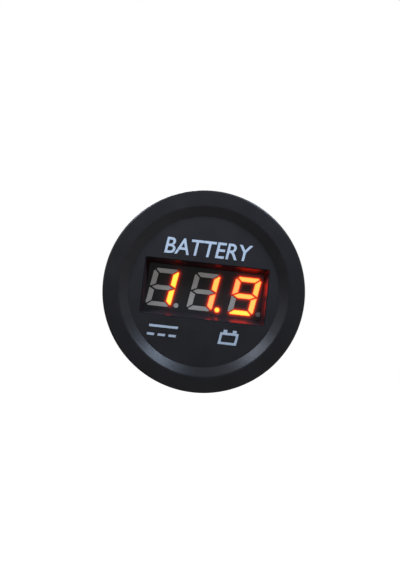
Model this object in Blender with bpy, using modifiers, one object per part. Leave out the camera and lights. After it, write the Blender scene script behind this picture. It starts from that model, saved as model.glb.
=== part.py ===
# Round panel-mount DC voltmeter with a three-digit segment display.
# Modelled in a gauge frame: x to the right and y up on the face, z out of the face towards the
# reader, with z = 0 on the panel. An empty turns that frame so that the face looks along -Y.

import math

import bmesh
import bpy
from mathutils import Matrix, Vector

MM = 0.001

# Display module
DISPLAY_WIDTH = 22.5 * MM
DISPLAY_HEIGHT = 10.0 * MM
DISPLAY_DEPTH = 6.1 * MM
CASE_WALL = 0.9 * MM
CASE_FACE = 2.4 * MM
PIN_WIDTH = 0.5 * MM
PIN_PITCH = 2.54 * MM
PINS_IN_ROW = 6
PIN_INSET = 0.6 * MM
PIN_TAIL = 0.8 * MM
PIN_ROOT = 0.5 * MM

# Digits on the display
READING = ("1", "1.", "9")
LIT_BARS = {"1": "bc", "9": "abcdfg"}
DIGIT_WIDTH = 4.66 * MM
DIGIT_HEIGHT = 7.0 * MM
DIGIT_SLANT = math.radians(9)
DIGIT_MARGIN = 1.29 * MM
BAR_WIDTH = 0.94 * MM
CROSS_BAR_WIDTH = 0.8 * MM
BAR_GAP = 0.3 * MM
CORNER_CUT = 0.58 * MM
MIDDLE_INSET = 0.4 * MM
MIDDLE_TIP_SLOPE = 0.5
POINT_RADIUS = 0.44 * MM
POINT_GAP = 0.57 * MM

# Front housing
FLANGE_OVERHANG = 4.19 * MM
FLANGE_THICKNESS = 4.0 * MM
FLANGE_EDGE = 0.35 * MM
FLANGE_BACK_EDGE = 0.2 * MM
RIM_WIDTH = 2.9 * MM
SLOPE_WIDTH = 1.8 * MM
FACE_DEPTH = 1.2 * MM
FACE_WALL = 1.8 * MM
WINDOW_DEPTH = 3.0 * MM
WINDOW_SHIFT = (0.2 * MM, 0.07 * MM)
WINDOW_LAP = (0.6 * MM, 0.75 * MM)
WINDOW_FLARE = (0.74 * MM, 0.87 * MM)
WINDOW_WALL = 1.0 * MM
BARREL_WALL = 1.7 * MM
BARREL_LENGTH = 28.0 * MM
BARREL_EDGE = 0.5 * MM
FLAT_DEPTH = 0.7 * MM
FLAT_START = 0.5 * MM

# Posts that carry the board
POST_SPACING = 12.0 * MM
POST_RADIUS = 1.3 * MM
POST_GAP = 0.5 * MM
STAKE_RADIUS = 0.6 * MM
STAKE_HEAD_RADIUS = 1.1 * MM
STAKE_HEAD_HEIGHT = 0.5 * MM

# Panel washer and ring nut
PANEL_GAP = 6.0 * MM
WASHER_THICKNESS = 1.0 * MM
WASHER_WIDTH = 3.0 * MM
NUT_HEIGHT = 8.0 * MM
NUT_WALL = 2.5 * MM
NUT_LIP_WIDTH = 0.8 * MM
NUT_LIP_HEIGHT = 2.0 * MM
NUT_EDGE = 0.5 * MM
GRIP_COUNT = 20
GRIP_RADIUS = 1.8 * MM
GRIP_DEPTH = 0.9 * MM

# Rear cap and blade terminals
CAP_LID = 2.0 * MM
CAP_INSET = 0.4 * MM
CAP_EDGE = 0.6 * MM
CAP_SKIRT = 5.0 * MM
CAP_SKIRT_WALL = 1.2 * MM
HOOK_WIDTH = 4.0 * MM
HOOK_HEIGHT = 1.4 * MM
HOOK_REACH = 0.7 * MM
HOOK_BELOW_RIM = 2.2 * MM
PAD_MARGIN = 1.6 * MM
PAD_RISE = 1.2 * MM
PAD_ROUND = 0.8 * MM
BARRIER_THICKNESS = 1.2 * MM
BARRIER_RISE = 4.0 * MM
TAB_SPACING = 10.0 * MM
TAB_WIDTH = 6.3 * MM
TAB_THICKNESS = 0.8 * MM
TAB_LENGTH = 8.0 * MM
TAB_TIP = 0.9 * MM
TAB_HOLE_RADIUS = 0.85 * MM
TAB_HOLE_FROM_TIP = 4.1 * MM
TAB_EDGE = 0.12 * MM
SHOULDER_WIDTH = 8.3 * MM
SHOULDER_HEIGHT = 1.5 * MM
TAIL_WIDTH = 3.4 * MM
TAIL_LENGTH = 5.0 * MM
TAIL_HOLE_RADIUS = 0.6 * MM

# Circuit board and the pieces on it
BOARD_THICKNESS = 1.6 * MM
BOARD_MARGIN = 0.5 * MM
CHIP_LENGTH = 6.0 * MM
CHIP_WIDTH = 3.0 * MM
CHIP_HEIGHT = 1.1 * MM
CHIP_STANDOFF = 0.15 * MM
LEG_SPAN = 4.9 * MM
LEG_PITCH = 0.65 * MM
LEGS_IN_ROW = 8
LEG_WIDTH = 0.26 * MM
LEG_THICKNESS = 0.18 * MM
LEG_FOOT = 0.55 * MM
REGULATOR_LENGTH = 4.5 * MM
REGULATOR_WIDTH = 2.5 * MM
REGULATOR_HEIGHT = 1.5 * MM
REGULATOR_LEG_PITCH = 1.5 * MM
REGULATOR_LEG_WIDTH = 0.45 * MM
REGULATOR_LEG_LENGTH = 0.9 * MM
REGULATOR_LEGS = 3
LUG_THICKNESS = 0.4 * MM
DIODE_LENGTH = 4.3 * MM
DIODE_WIDTH = 2.6 * MM
DIODE_HEIGHT = 2.2 * MM
DIODE_DRAFT = 0.25 * MM
DIODE_LUG_WIDTH = 1.4 * MM
DIODE_LUG_LENGTH = 0.5 * MM
CAN_RADIUS = 2.0 * MM
CAN_HEIGHT = 5.4 * MM
CAN_EDGE = 0.3 * MM
CAN_BASE = 4.3 * MM
CAN_BASE_HEIGHT = 0.8 * MM
CAN_BASE_CORNER = 0.8 * MM
CERAMIC_LENGTH = 3.2 * MM
CERAMIC_WIDTH = 1.6 * MM
CERAMIC_HEIGHT = 1.2 * MM
RESISTOR_LENGTH = 2.0 * MM
RESISTOR_WIDTH = 1.25 * MM
RESISTOR_HEIGHT = 0.5 * MM
CHIP_CAP_LENGTH = 0.4 * MM
CHIP_CAP_RISE = 0.04 * MM
CHIP_SPACING = 1.0 * MM
TRIMMER_SIZE = 3.5 * MM
TRIMMER_HEIGHT = 2.0 * MM
TRIMMER_WELL_DEPTH = 0.9 * MM
ROTOR_RADIUS = 1.2 * MM
ROTOR_RISE = 0.3 * MM
ROTOR_SLOT_WIDTH = 0.5 * MM
ROTOR_SLOT_DEPTH = 0.5 * MM
LEAD_RADIUS = 0.8 * MM
LEAD_DROP = 5.4 * MM

# Clearances
DISPLAY_FIT = 0.3 * MM
BOARD_FIT = 0.25 * MM
SEAT_GAP = 0.2 * MM
SOLDER_GAP = 0.1 * MM
SEGMENT_FIT = 0.03 * MM
CASE_FIT = 0.1 * MM
HOLE_FIT = 0.15 * MM
RUN_FIT = 0.15 * MM
CAP_FIT = 0.15 * MM
TAB_FIT = 0.12 * MM
ROTOR_FIT = 0.12 * MM

# Fineness of round forms
HOUSING_STEPS = 96
RING_STEPS = 72
SMALL_STEPS = 24
HOLE_STEPS = 12
EDGE_STEPS = 4
WELD = 0.001 * MM
OVERCUT = 1.0 * MM

# Radii that follow from the sizes above
bore_radius = math.hypot(DISPLAY_WIDTH / 2, DISPLAY_HEIGHT / 2) + DISPLAY_FIT
barrel_radius = bore_radius + BARREL_WALL
flat_x = barrel_radius - FLAT_DEPTH
flange_radius = barrel_radius + FLANGE_OVERHANG
slope_radius = flange_radius - RIM_WIDTH
face_radius = slope_radius - SLOPE_WIDTH
board_radius = bore_radius - BOARD_FIT
ring_hole_radius = barrel_radius + RUN_FIT
nut_radius = ring_hole_radius + NUT_WALL
skirt_radius = bore_radius - CAP_FIT

# Levels along the axis, from the reader to the back
rim_z = FLANGE_THICKNESS
face_z = rim_z - FACE_DEPTH
face_back_z = face_z - FACE_WALL
window_back_z = face_z - WINDOW_DEPTH
display_z = window_back_z - SEAT_GAP
case_floor_z = display_z - CASE_FACE
display_back_z = display_z - DISPLAY_DEPTH
board_z = display_back_z - SEAT_GAP
board_back_z = board_z - BOARD_THICKNESS
solder_z = board_back_z - SOLDER_GAP
washer_z = -PANEL_GAP
nut_z = washer_z - WASHER_THICKNESS - SEAT_GAP
barrel_end_z = -BARREL_LENGTH
lid_z = barrel_end_z - SEAT_GAP
lid_back_z = lid_z - CAP_LID
pad_back_z = lid_back_z - PAD_RISE
tab_tip_z = pad_back_z - TAB_LENGTH
shoulder_z = lid_z + SEAT_GAP
tail_z = shoulder_z + SHOULDER_HEIGHT
tail_end_z = tail_z + TAIL_LENGTH
hook_z = lid_z + CAP_SKIRT - HOOK_BELOW_RIM

# Places on the display and the board
digit_pitch = (DISPLAY_WIDTH - 2 * DIGIT_MARGIN - DIGIT_WIDTH) / (len(READING) - 1)
post_x = POST_SPACING / 2
post_y = DISPLAY_HEIGHT / 2 + POST_GAP + POST_RADIUS
post_places = [(x, y) for x in (-post_x, post_x) for y in (-post_y, post_y)]
base_width = DISPLAY_WIDTH - 2 * (CASE_WALL + CASE_FIT)
base_height = DISPLAY_HEIGHT - 2 * (CASE_WALL + CASE_FIT)
pin_y = base_height / 2 - PIN_INSET
pin_places = [
    ((i - (PINS_IN_ROW - 1) / 2) * PIN_PITCH, y) for y in (-pin_y, pin_y) for i in range(PINS_IN_ROW)
]
tab_x = TAB_SPACING / 2
lead_y = -LEAD_DROP
lead_x = math.sqrt((board_radius - BOARD_MARGIN - LEAD_RADIUS - HOLE_FIT) ** 2 - lead_y**2)


def clear_scene():
    for obj in list(bpy.data.objects):
        bpy.data.objects.remove(obj, do_unlink=True)


def new_collection(name):
    collection = bpy.data.collections.new(name)
    bpy.context.scene.collection.children.link(collection)
    return collection


def new_material(name, color, roughness, metallic=0.0, glow=0.0):
    made = bpy.data.materials.new(name)
    made.use_nodes = True
    shader = made.node_tree.nodes["Principled BSDF"]
    shader.inputs["Base Color"].default_value = (*color, 1.0)
    shader.inputs["Roughness"].default_value = roughness
    shader.inputs["Metallic"].default_value = metallic
    shader.inputs["Emission Color"].default_value = (*color, 1.0)
    shader.inputs["Emission Strength"].default_value = glow
    return made


clear_scene()
parts = new_collection("panel_voltmeter")
cutters = new_collection("cutters")

gauge = bpy.data.objects.new("gauge_frame", None)
gauge.rotation_euler = (math.radians(90), 0.0, 0.0)
parts.objects.link(gauge)

black_plastic = new_material("black_plastic", (0.018, 0.018, 0.021), 0.55)
nut_plastic = new_material("nut_plastic", (0.022, 0.022, 0.024), 0.5)
washer_plastic = new_material("washer_plastic", (0.03, 0.03, 0.03), 0.6)
display_plastic = new_material("display_plastic", (0.012, 0.011, 0.011), 0.45)
potting = new_material("potting", (0.75, 0.73, 0.68), 0.5)
lit_epoxy = new_material("lit_epoxy", (1.0, 0.28, 0.06), 0.35, glow=4.0)
unlit_epoxy = new_material("unlit_epoxy", (0.18, 0.17, 0.17), 0.4)
laminate = new_material("laminate", (0.02, 0.16, 0.06), 0.45)
chip_black = new_material("chip_black", (0.02, 0.02, 0.022), 0.5)
aluminium_can = new_material("aluminium_can", (0.75, 0.76, 0.78), 0.3, metallic=1.0)
ceramic_tan = new_material("ceramic_tan", (0.42, 0.27, 0.14), 0.45)
trimmer_blue = new_material("trimmer_blue", (0.05, 0.14, 0.42), 0.4)
rotor_white = new_material("rotor_white", (0.8, 0.8, 0.78), 0.4)
nickel = new_material("nickel", (0.62, 0.6, 0.56), 0.3, metallic=1.0)
red_sleeve = new_material("red_sleeve", (0.5, 0.02, 0.02), 0.45)
black_sleeve = new_material("black_sleeve", (0.02, 0.02, 0.02), 0.45)


def add_part(obj, skin):
    parts.objects.link(obj)
    obj.parent = gauge
    obj.data.materials.append(skin)
    return obj


def add_cutter(obj):
    cutters.objects.link(obj)
    obj.parent = gauge
    obj.hide_render = True
    obj.display_type = "WIRE"
    return obj


def circle(radius, steps, center=(0.0, 0.0)):
    turns = [2 * math.pi * (i + 0.5) / steps for i in range(steps)]
    return [(center[0] + radius * math.cos(t), center[1] + radius * math.sin(t)) for t in turns]


def keyed_hole(radius, half_flats, steps):
    # A circle with a flat on its left and its right
    start = math.acos(half_flats / radius)
    half = steps // 2
    points = []
    for side in (0, math.pi):
        for i in range(half + 1):
            turn = side + start + (math.pi - 2 * start) * i / half
            points.append((radius * math.cos(turn), radius * math.sin(turn)))
    return points


def grown(points, distance):
    # A convex outline, listed counterclockwise, moved outwards on every side
    moved = []
    count = len(points)
    for i in range(count):
        before, here, after = (Vector(points[(i + k) % count]) for k in (-1, 0, 1))
        first = (here - before).normalized()
        second = (after - here).normalized()
        outward = Vector((first.y, -first.x)) + Vector((second.y, -second.x))
        moved.append(tuple(here + outward * distance / (1 + first.dot(second))))
    return moved


def turned(name, profile, closed=False, steps=RING_STEPS):
    # Profile points are (radius, z), from the top down the outer side
    last = len(profile) - 1
    edges = [(i, i + 1) for i in range(last)]
    if closed:
        edges.append((last, 0))
    mesh = bpy.data.meshes.new(name)
    mesh.from_pydata([(radius, 0.0, z) for radius, z in profile], edges, [])
    obj = bpy.data.objects.new(name, mesh)
    screw = obj.modifiers.new("revolve", "SCREW")
    screw.steps = steps
    screw.render_steps = steps
    screw.use_merge_vertices = True
    screw.merge_threshold = WELD
    return obj


def plate(name, loops, top, thickness):
    # Flat outline with its holes, its upper face at height top
    curve = bpy.data.curves.new(name, "CURVE")
    curve.dimensions = "2D"
    curve.fill_mode = "BOTH"
    curve.extrude = thickness / 2
    for loop in loops:
        spline = curve.splines.new("POLY")
        spline.points.add(len(loop) - 1)
        for point, (x, y) in zip(spline.points, loop):
            point.co = (x, y, 0.0, 1.0)
        spline.use_cyclic_u = True
    obj = bpy.data.objects.new(name, curve)
    obj.location.z = top - thickness / 2
    return obj


def block(name, size, top, center=(0.0, 0.0), taper=(0.0, 0.0)):
    # Box whose upper face, at height top, is smaller by taper on each side, across and up
    shape = bmesh.new()
    bmesh.ops.create_cube(shape, size=1.0)
    for vert in shape.verts:
        inset = taper if vert.co.z > 0 else (0.0, 0.0)
        x = math.copysign(size[0] / 2 - inset[0], vert.co.x)
        y = math.copysign(size[1] / 2 - inset[1], vert.co.y)
        vert.co = (center[0] + x, center[1] + y, top + (vert.co.z - 0.5) * size[2])
    mesh = bpy.data.meshes.new(name)
    shape.to_mesh(mesh)
    shape.free()
    return bpy.data.objects.new(name, mesh)


def as_mesh(obj):
    # Replaces a curve, or an object with modifiers, by its welded mesh
    bpy.context.view_layer.update()
    graph = bpy.context.evaluated_depsgraph_get()
    mesh = bpy.data.meshes.new_from_object(obj.evaluated_get(graph))
    shape = bmesh.new()
    shape.from_mesh(mesh)
    bmesh.ops.remove_doubles(shape, verts=shape.verts, dist=WELD)
    shape.to_mesh(mesh)
    shape.free()
    name = obj.name
    solid = bpy.data.objects.new(name + "_mesh", mesh)
    for collection in obj.users_collection:
        collection.objects.link(solid)
    solid.parent = obj.parent
    solid.hide_render = obj.hide_render
    solid.display_type = obj.display_type
    solid.matrix_world = obj.matrix_world
    bpy.data.objects.remove(obj, do_unlink=True)
    solid.name = name
    return solid


def repeated(name, obj, places):
    # One mesh with a copy of a solid at each place; the single solid is removed
    single = as_mesh(add_cutter(obj))
    shape = bmesh.new()
    for x, y in places:
        copy = single.data.copy()
        copy.transform(Matrix.Translation((x, y, 0.0)) @ single.matrix_local)
        shape.from_mesh(copy)
        bpy.data.meshes.remove(copy)
    mesh = bpy.data.meshes.new(name)
    shape.to_mesh(mesh)
    shape.free()
    bpy.data.objects.remove(single, do_unlink=True)
    return bpy.data.objects.new(name, mesh)


def combine(obj, other, operation):
    if other.name not in cutters.objects:
        add_cutter(other)
    step = obj.modifiers.new(other.name, "BOOLEAN")
    step.operation = operation
    step.solver = "EXACT"
    step.object = other


def smooth(obj, angle=math.radians(30)):
    # Bakes the modifiers and shades the round faces smooth
    solid = as_mesh(obj)
    solid.data.shade_smooth()
    solid.data.set_sharp_from_angle(angle=angle)
    return solid


def edge_offset(half_depth, half_width):
    # How far from the centre a piece sits when its outer corners reach the board's margin
    return math.sqrt((board_radius - BOARD_MARGIN) ** 2 - half_width**2) - half_depth


def front_housing():
    edge = [
        (
            flange_radius - FLANGE_EDGE * (1 - math.sin(math.pi / 2 * i / EDGE_STEPS)),
            rim_z - FLANGE_EDGE * (1 - math.cos(math.pi / 2 * i / EDGE_STEPS)),
        )
        for i in range(EDGE_STEPS + 1)
    ]
    profile = [
        (0.0, face_z),
        (face_radius, face_z),
        (slope_radius, rim_z),
        *edge,
        (flange_radius, FLANGE_BACK_EDGE),
        (flange_radius - FLANGE_BACK_EDGE, 0.0),
        (barrel_radius, 0.0),
        (barrel_radius, barrel_end_z + BARREL_EDGE),
        (barrel_radius - BARREL_EDGE, barrel_end_z),
        (bore_radius, barrel_end_z),
        (bore_radius, face_back_z),
        (0.0, face_back_z),
    ]
    body = add_part(turned("front_housing", profile, steps=HOUSING_STEPS), black_plastic)

    # Frame behind the face that the display seats on
    window_width = DISPLAY_WIDTH - 2 * WINDOW_LAP[0]
    window_height = DISPLAY_HEIGHT - 2 * WINDOW_LAP[1]
    frame_size = (
        window_width + 2 * (WINDOW_FLARE[0] + WINDOW_WALL),
        window_height + 2 * (WINDOW_FLARE[1] + WINDOW_WALL),
        face_back_z - window_back_z + FACE_WALL / 2,
    )
    window_frame = block("window_frame", frame_size, face_back_z + FACE_WALL / 2, WINDOW_SHIFT)
    combine(body, window_frame, "UNION")

    # Posts that pass through the board and are staked over behind it
    post = [
        (0.0, face_back_z + FACE_WALL / 2),
        (POST_RADIUS, face_back_z + FACE_WALL / 2),
        (POST_RADIUS, board_z + SEAT_GAP),
        (STAKE_RADIUS, board_z + SEAT_GAP),
        (STAKE_RADIUS, board_back_z - SEAT_GAP),
        (STAKE_HEAD_RADIUS, board_back_z - SEAT_GAP),
        (STAKE_RADIUS, board_back_z - SEAT_GAP - STAKE_HEAD_HEIGHT),
        (0.0, board_back_z - SEAT_GAP - STAKE_HEAD_HEIGHT),
    ]
    combine(body, repeated("posts", turned("post", post, steps=HOLE_STEPS), post_places), "UNION")

    # Flared window, cut past the face and past the back of its frame at the same flare
    draft = [flare / WINDOW_DEPTH for flare in WINDOW_FLARE]
    taper = [slope * (WINDOW_DEPTH + 2 * OVERCUT) for slope in draft]
    window = (
        window_width - 2 * draft[0] * OVERCUT + 2 * taper[0],
        window_height - 2 * draft[1] * OVERCUT + 2 * taper[1],
        WINDOW_DEPTH + 2 * OVERCUT,
    )
    opening = block("window", window, face_z + OVERCUT, WINDOW_SHIFT, taper)
    for vert in opening.data.vertices:
        vert.co.z = face_z + window_back_z - vert.co.z
    opening.data.flip_normals()
    combine(body, opening, "DIFFERENCE")

    # Flats along the barrel, and the slots in them that the rear cap hooks into
    flat_size = (2 * FLAT_DEPTH + OVERCUT, 2 * barrel_radius, BARREL_LENGTH - FLAT_START + OVERCUT)
    slot_size = (
        2 * (barrel_radius - skirt_radius) + OVERCUT,
        HOOK_WIDTH + 2 * HOLE_FIT,
        HOOK_HEIGHT + 2 * HOLE_FIT,
    )
    for side in (-1, 1):
        flat_center = (side * (flat_x + flat_size[0] / 2), 0.0)
        combine(body, block(f"flat_{side}", flat_size, -FLAT_START, flat_center), "DIFFERENCE")
        slot_center = (side * barrel_radius, 0.0)
        combine(body, block(f"slot_{side}", slot_size, hook_z + HOLE_FIT, slot_center), "DIFFERENCE")
    return smooth(body)


def mounting_nut():
    top = nut_z
    bottom = nut_z - NUT_HEIGHT
    lip_radius = nut_radius + NUT_LIP_WIDTH
    profile = [
        (ring_hole_radius + NUT_EDGE, top),
        (lip_radius - NUT_EDGE / 2, top),
        (lip_radius, top - NUT_EDGE / 2),
        (lip_radius, top - NUT_LIP_HEIGHT),
        (nut_radius, top - NUT_LIP_HEIGHT),
        (nut_radius, bottom + NUT_EDGE),
        (nut_radius - NUT_EDGE, bottom),
        (ring_hole_radius + NUT_EDGE, bottom),
        (ring_hole_radius, bottom + NUT_EDGE),
        (ring_hole_radius, top - NUT_EDGE),
    ]
    nut = add_part(turned("mounting_nut", profile, closed=True), nut_plastic)

    # Finger scallops around the nut, behind its lip
    ring = nut_radius + GRIP_RADIUS - GRIP_DEPTH
    turns = [2 * math.pi * i / GRIP_COUNT for i in range(GRIP_COUNT)]
    places = [(ring * math.cos(t), ring * math.sin(t)) for t in turns]
    cut_top = top - NUT_LIP_HEIGHT
    cutter = [(0.0, cut_top), (GRIP_RADIUS, cut_top), (GRIP_RADIUS, bottom - OVERCUT), (0.0, bottom - OVERCUT)]
    combine(nut, repeated("grips", turned("grip", cutter, steps=SMALL_STEPS), places), "DIFFERENCE")
    return smooth(nut)


def panel_washer():
    hole = keyed_hole(ring_hole_radius, flat_x + RUN_FIT, RING_STEPS)
    rim = circle(ring_hole_radius + WASHER_WIDTH, RING_STEPS)
    washer = plate("panel_washer", [rim, hole], washer_z, WASHER_THICKNESS)
    return smooth(add_part(washer, washer_plastic))


def rear_cap():
    lid_radius = barrel_radius - CAP_INSET
    inner_radius = skirt_radius - CAP_SKIRT_WALL
    skirt_top = lid_z + CAP_SKIRT
    profile = [
        (0.0, lid_z),
        (inner_radius, lid_z),
        (inner_radius, skirt_top),
        (skirt_radius - CAP_SKIRT_WALL / 2, skirt_top),
        (skirt_radius, skirt_top - CAP_SKIRT_WALL / 2),
        (skirt_radius, lid_z),
        (lid_radius, lid_z),
        (lid_radius, lid_back_z + CAP_EDGE),
        (lid_radius - CAP_EDGE, lid_back_z),
        (0.0, lid_back_z),
    ]
    cap = add_part(turned("rear_cap", profile), black_plastic)

    # Raised pad around the blades and the barrier between them
    pad_height = TAB_WIDTH + 2 * PAD_MARGIN
    pad_size = (TAB_SPACING + TAB_THICKNESS + 2 * PAD_MARGIN, pad_height, PAD_RISE + CAP_LID / 2)
    pad = block("pad", pad_size, pad_back_z + pad_size[2])
    round_off = pad.modifiers.new("corners", "BEVEL")
    round_off.width = PAD_ROUND
    round_off.segments = 3
    round_off.limit_method = "WEIGHT"
    weight = pad.data.attributes.new("bevel_weight_edge", "FLOAT", "EDGE")
    for edge in pad.data.edges:
        ends = [pad.data.vertices[i].co for i in edge.vertices]
        weight.data[edge.index].value = float(abs(ends[0].z - ends[1].z) > WELD)
    combine(cap, pad, "UNION")
    barrier_size = (BARRIER_THICKNESS, pad_height, BARRIER_RISE + PAD_RISE + CAP_LID / 2)
    barrier_top = lid_back_z + CAP_LID / 2
    combine(cap, block("barrier", barrier_size, barrier_top), "UNION")

    # Snap hooks on the skirt and slots for the blades
    hook_size = (HOOK_REACH + CAP_SKIRT_WALL / 2, HOOK_WIDTH, HOOK_HEIGHT)
    slot_size = (
        TAB_THICKNESS + 2 * TAB_FIT,
        TAB_WIDTH + 2 * TAB_FIT,
        CAP_LID + PAD_RISE + 2 * OVERCUT,
    )
    for side in (-1, 1):
        hook_x = side * (skirt_radius + HOOK_REACH - hook_size[0] / 2)
        hook = block(f"hook_{side}", hook_size, hook_z, (hook_x, 0.0))
        for vert in hook.data.vertices:
            if side * vert.co.x > skirt_radius and vert.co.z > hook_z - HOOK_HEIGHT / 2:
                vert.co.z -= HOOK_HEIGHT / 2
        combine(cap, hook, "UNION")
        slot = block(f"blade_slot_{side}", slot_size, lid_z + OVERCUT, (side * tab_x, 0.0))
        combine(cap, slot, "DIFFERENCE")
    return smooth(cap)


def terminal(name, side):
    # Blade outline as (across, along the axis), tip first
    half = TAB_WIDTH / 2
    right = [
        (half - TAB_TIP, tab_tip_z),
        (half, tab_tip_z + TAB_TIP),
        (half, shoulder_z),
        (SHOULDER_WIDTH / 2, shoulder_z),
        (SHOULDER_WIDTH / 2, tail_z),
        (TAIL_WIDTH / 2, tail_z),
        (TAIL_WIDTH / 2, tail_end_z),
    ]
    left = [(-across, along) for across, along in reversed(right)]
    tab_hole = circle(TAB_HOLE_RADIUS, HOLE_STEPS, (0.0, tab_tip_z + TAB_HOLE_FROM_TIP))
    tail_hole = circle(TAIL_HOLE_RADIUS, HOLE_STEPS, (0.0, tail_end_z - TAIL_WIDTH / 2))
    blade = plate(name, [right + left, tab_hole, tail_hole], TAB_THICKNESS / 2, TAB_THICKNESS)
    blade.rotation_euler = (math.radians(90), 0.0, math.radians(90))
    blade.location = (side * tab_x, 0.0, 0.0)
    blade = as_mesh(add_part(blade, nickel))
    bevel = blade.modifiers.new("edges", "BEVEL")
    bevel.width = TAB_EDGE
    bevel.segments = 1
    bevel.limit_method = "ANGLE"
    bevel.angle_limit = math.radians(60)
    return blade


def digit_bars():
    # Outlines of one upright digit about its centre, counterclockwise
    w = DIGIT_WIDTH / 2
    h = DIGIT_HEIGHT / 2
    t = BAR_WIDTH
    cross = CROSS_BAR_WIDTH
    gap = BAR_GAP / math.sqrt(2)
    cut = CORNER_CUT
    near = (cut - gap) / 2
    far = (cut + gap) / 2
    rise = BAR_GAP * math.hypot(1, MIDDLE_TIP_SLOPE)
    inner = MIDDLE_TIP_SLOPE * (t - MIDDLE_INSET) + rise
    outer = max(rise - MIDDLE_TIP_SLOPE * MIDDLE_INSET, BAR_GAP / 2)
    tip = cross / 2 / MIDDLE_TIP_SLOPE
    top = [(w - cut, h), (-w + cut, h), (-w + far, h - near), (-w + t + gap, h - cross)]
    top += [(w - t - gap, h - cross), (w - far, h - near)]
    side = [(-w, h - cut), (-w, outer), (-w + t, inner)]
    side += [(-w + t, h - cross - gap), (-w + near, h - far)]
    middle = [(-w + MIDDLE_INSET, 0.0), (-w + MIDDLE_INSET + tip, -cross / 2)]
    middle += [(w - MIDDLE_INSET - tip, -cross / 2), (w - MIDDLE_INSET, 0.0)]
    middle += [(w - MIDDLE_INSET - tip, cross / 2), (-w + MIDDLE_INSET + tip, cross / 2)]

    def mirrored(points, across, along):
        flipped = [(x * across, y * along) for x, y in points]
        return flipped[::-1] if across * along < 0 else flipped

    return {
        "a": top,
        "b": mirrored(side, -1, 1),
        "c": mirrored(side, -1, -1),
        "d": mirrored(top, 1, -1),
        "e": mirrored(side, 1, -1),
        "f": side,
        "g": middle,
    }


def segment_outlines():
    # Outline of every bar and point on the display, by node name
    lean = math.tan(DIGIT_SLANT)
    point_y = -DIGIT_HEIGHT / 2 + POINT_RADIUS
    point_x = DIGIT_WIDTH / 2 + POINT_GAP + POINT_RADIUS + lean * point_y
    outlines = {}
    for index, symbol in enumerate(READING):
        center = (index - (len(READING) - 1) / 2) * digit_pitch
        digit = f"digit_{index + 1}"
        for letter, bar in digit_bars().items():
            slanted = [(center + x + lean * y, y) for x, y in bar]
            outlines[f"{digit}_segment_{letter}"] = (slanted, letter in LIT_BARS[symbol[0]])
        dot = circle(POINT_RADIUS, SMALL_STEPS, (center + point_x, point_y))
        outlines[f"{digit}_point"] = (dot, symbol.endswith("."))
    return outlines


def display():
    outlines = segment_outlines()
    case_size = (DISPLAY_WIDTH, DISPLAY_HEIGHT, DISPLAY_DEPTH)
    case = add_part(block("display_case", case_size, display_z), display_plastic)
    cavity_size = (
        DISPLAY_WIDTH - 2 * CASE_WALL,
        DISPLAY_HEIGHT - 2 * CASE_WALL,
        DISPLAY_DEPTH - CASE_FACE + OVERCUT,
    )
    combine(case, block("case_cavity", cavity_size, case_floor_z), "DIFFERENCE")
    windows = [grown(points, SEGMENT_FIT) for points, lit in outlines.values()]
    cutter = plate("segment_windows", windows, display_z + OVERCUT, CASE_FACE + 2 * OVERCUT)
    combine(case, as_mesh(add_cutter(cutter)), "DIFFERENCE")

    for name, (points, lit) in outlines.items():
        bar = plate(name, [points], display_z, CASE_FACE)
        add_part(bar, lit_epoxy if lit else unlit_epoxy)

    base_top = case_floor_z - SEAT_GAP
    base_size = (base_width, base_height, base_top - display_back_z)
    base = add_part(block("display_base", base_size, base_top), potting)
    pin_top = display_back_z + PIN_ROOT
    pin_size = (PIN_WIDTH, PIN_WIDTH, pin_top - board_back_z + PIN_TAIL)
    combine(base, repeated("pins", block("pin", pin_size, pin_top), pin_places), "UNION")


def main_board():
    pin_hole = PIN_WIDTH / math.sqrt(2) + HOLE_FIT
    loops = [circle(board_radius, RING_STEPS)]
    loops += [circle(STAKE_RADIUS + HOLE_FIT, HOLE_STEPS, place) for place in post_places]
    loops += [circle(pin_hole, HOLE_STEPS, place) for place in pin_places]
    loops += [circle(LEAD_RADIUS + HOLE_FIT, HOLE_STEPS, (side * lead_x, lead_y)) for side in (-1, 1)]
    return add_part(plate("main_board", loops, board_z, BOARD_THICKNESS), laminate)


def legs(name, reach, foot, height, width, root, places):
    # Bent legs that leave a package at half height and stand on the board, along +y
    half = LEG_THICKNESS / 2
    knee = reach - foot
    profile = [
        (root, height + half),
        (root, height - half),
        (knee - half, height - half),
        (knee - half, 0.0),
        (reach, 0.0),
        (reach, LEG_THICKNESS),
        (knee + half, LEG_THICKNESS),
        (knee + half, height + half),
    ]
    strip = plate(name, [profile], width / 2, width)
    strip.rotation_euler = (math.radians(-90), 0.0, math.radians(90))
    strip.location = (0.0, 0.0, solder_z)
    return repeated(name + "_row", strip, places)


def microcontroller():
    # Package with a row of legs on each long side
    top = solder_z - CHIP_STANDOFF
    body = block("microcontroller", (CHIP_LENGTH, CHIP_WIDTH, CHIP_HEIGHT), top)
    add_part(body, chip_black)
    places = [((i - (LEGS_IN_ROW - 1) / 2) * LEG_PITCH, 0.0) for i in range(LEGS_IN_ROW)]
    height = CHIP_STANDOFF + CHIP_HEIGHT / 2
    root = CHIP_WIDTH / 2 - LEG_FOOT
    for side in (1, -1):
        row = legs(f"chip_legs_{side}", LEG_SPAN / 2, LEG_FOOT, height, LEG_WIDTH, root, places)
        for vert in row.data.vertices:
            vert.co.y *= side
        if side < 0:
            row.data.flip_normals()
        combine(body, row, "UNION")
    return body


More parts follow.
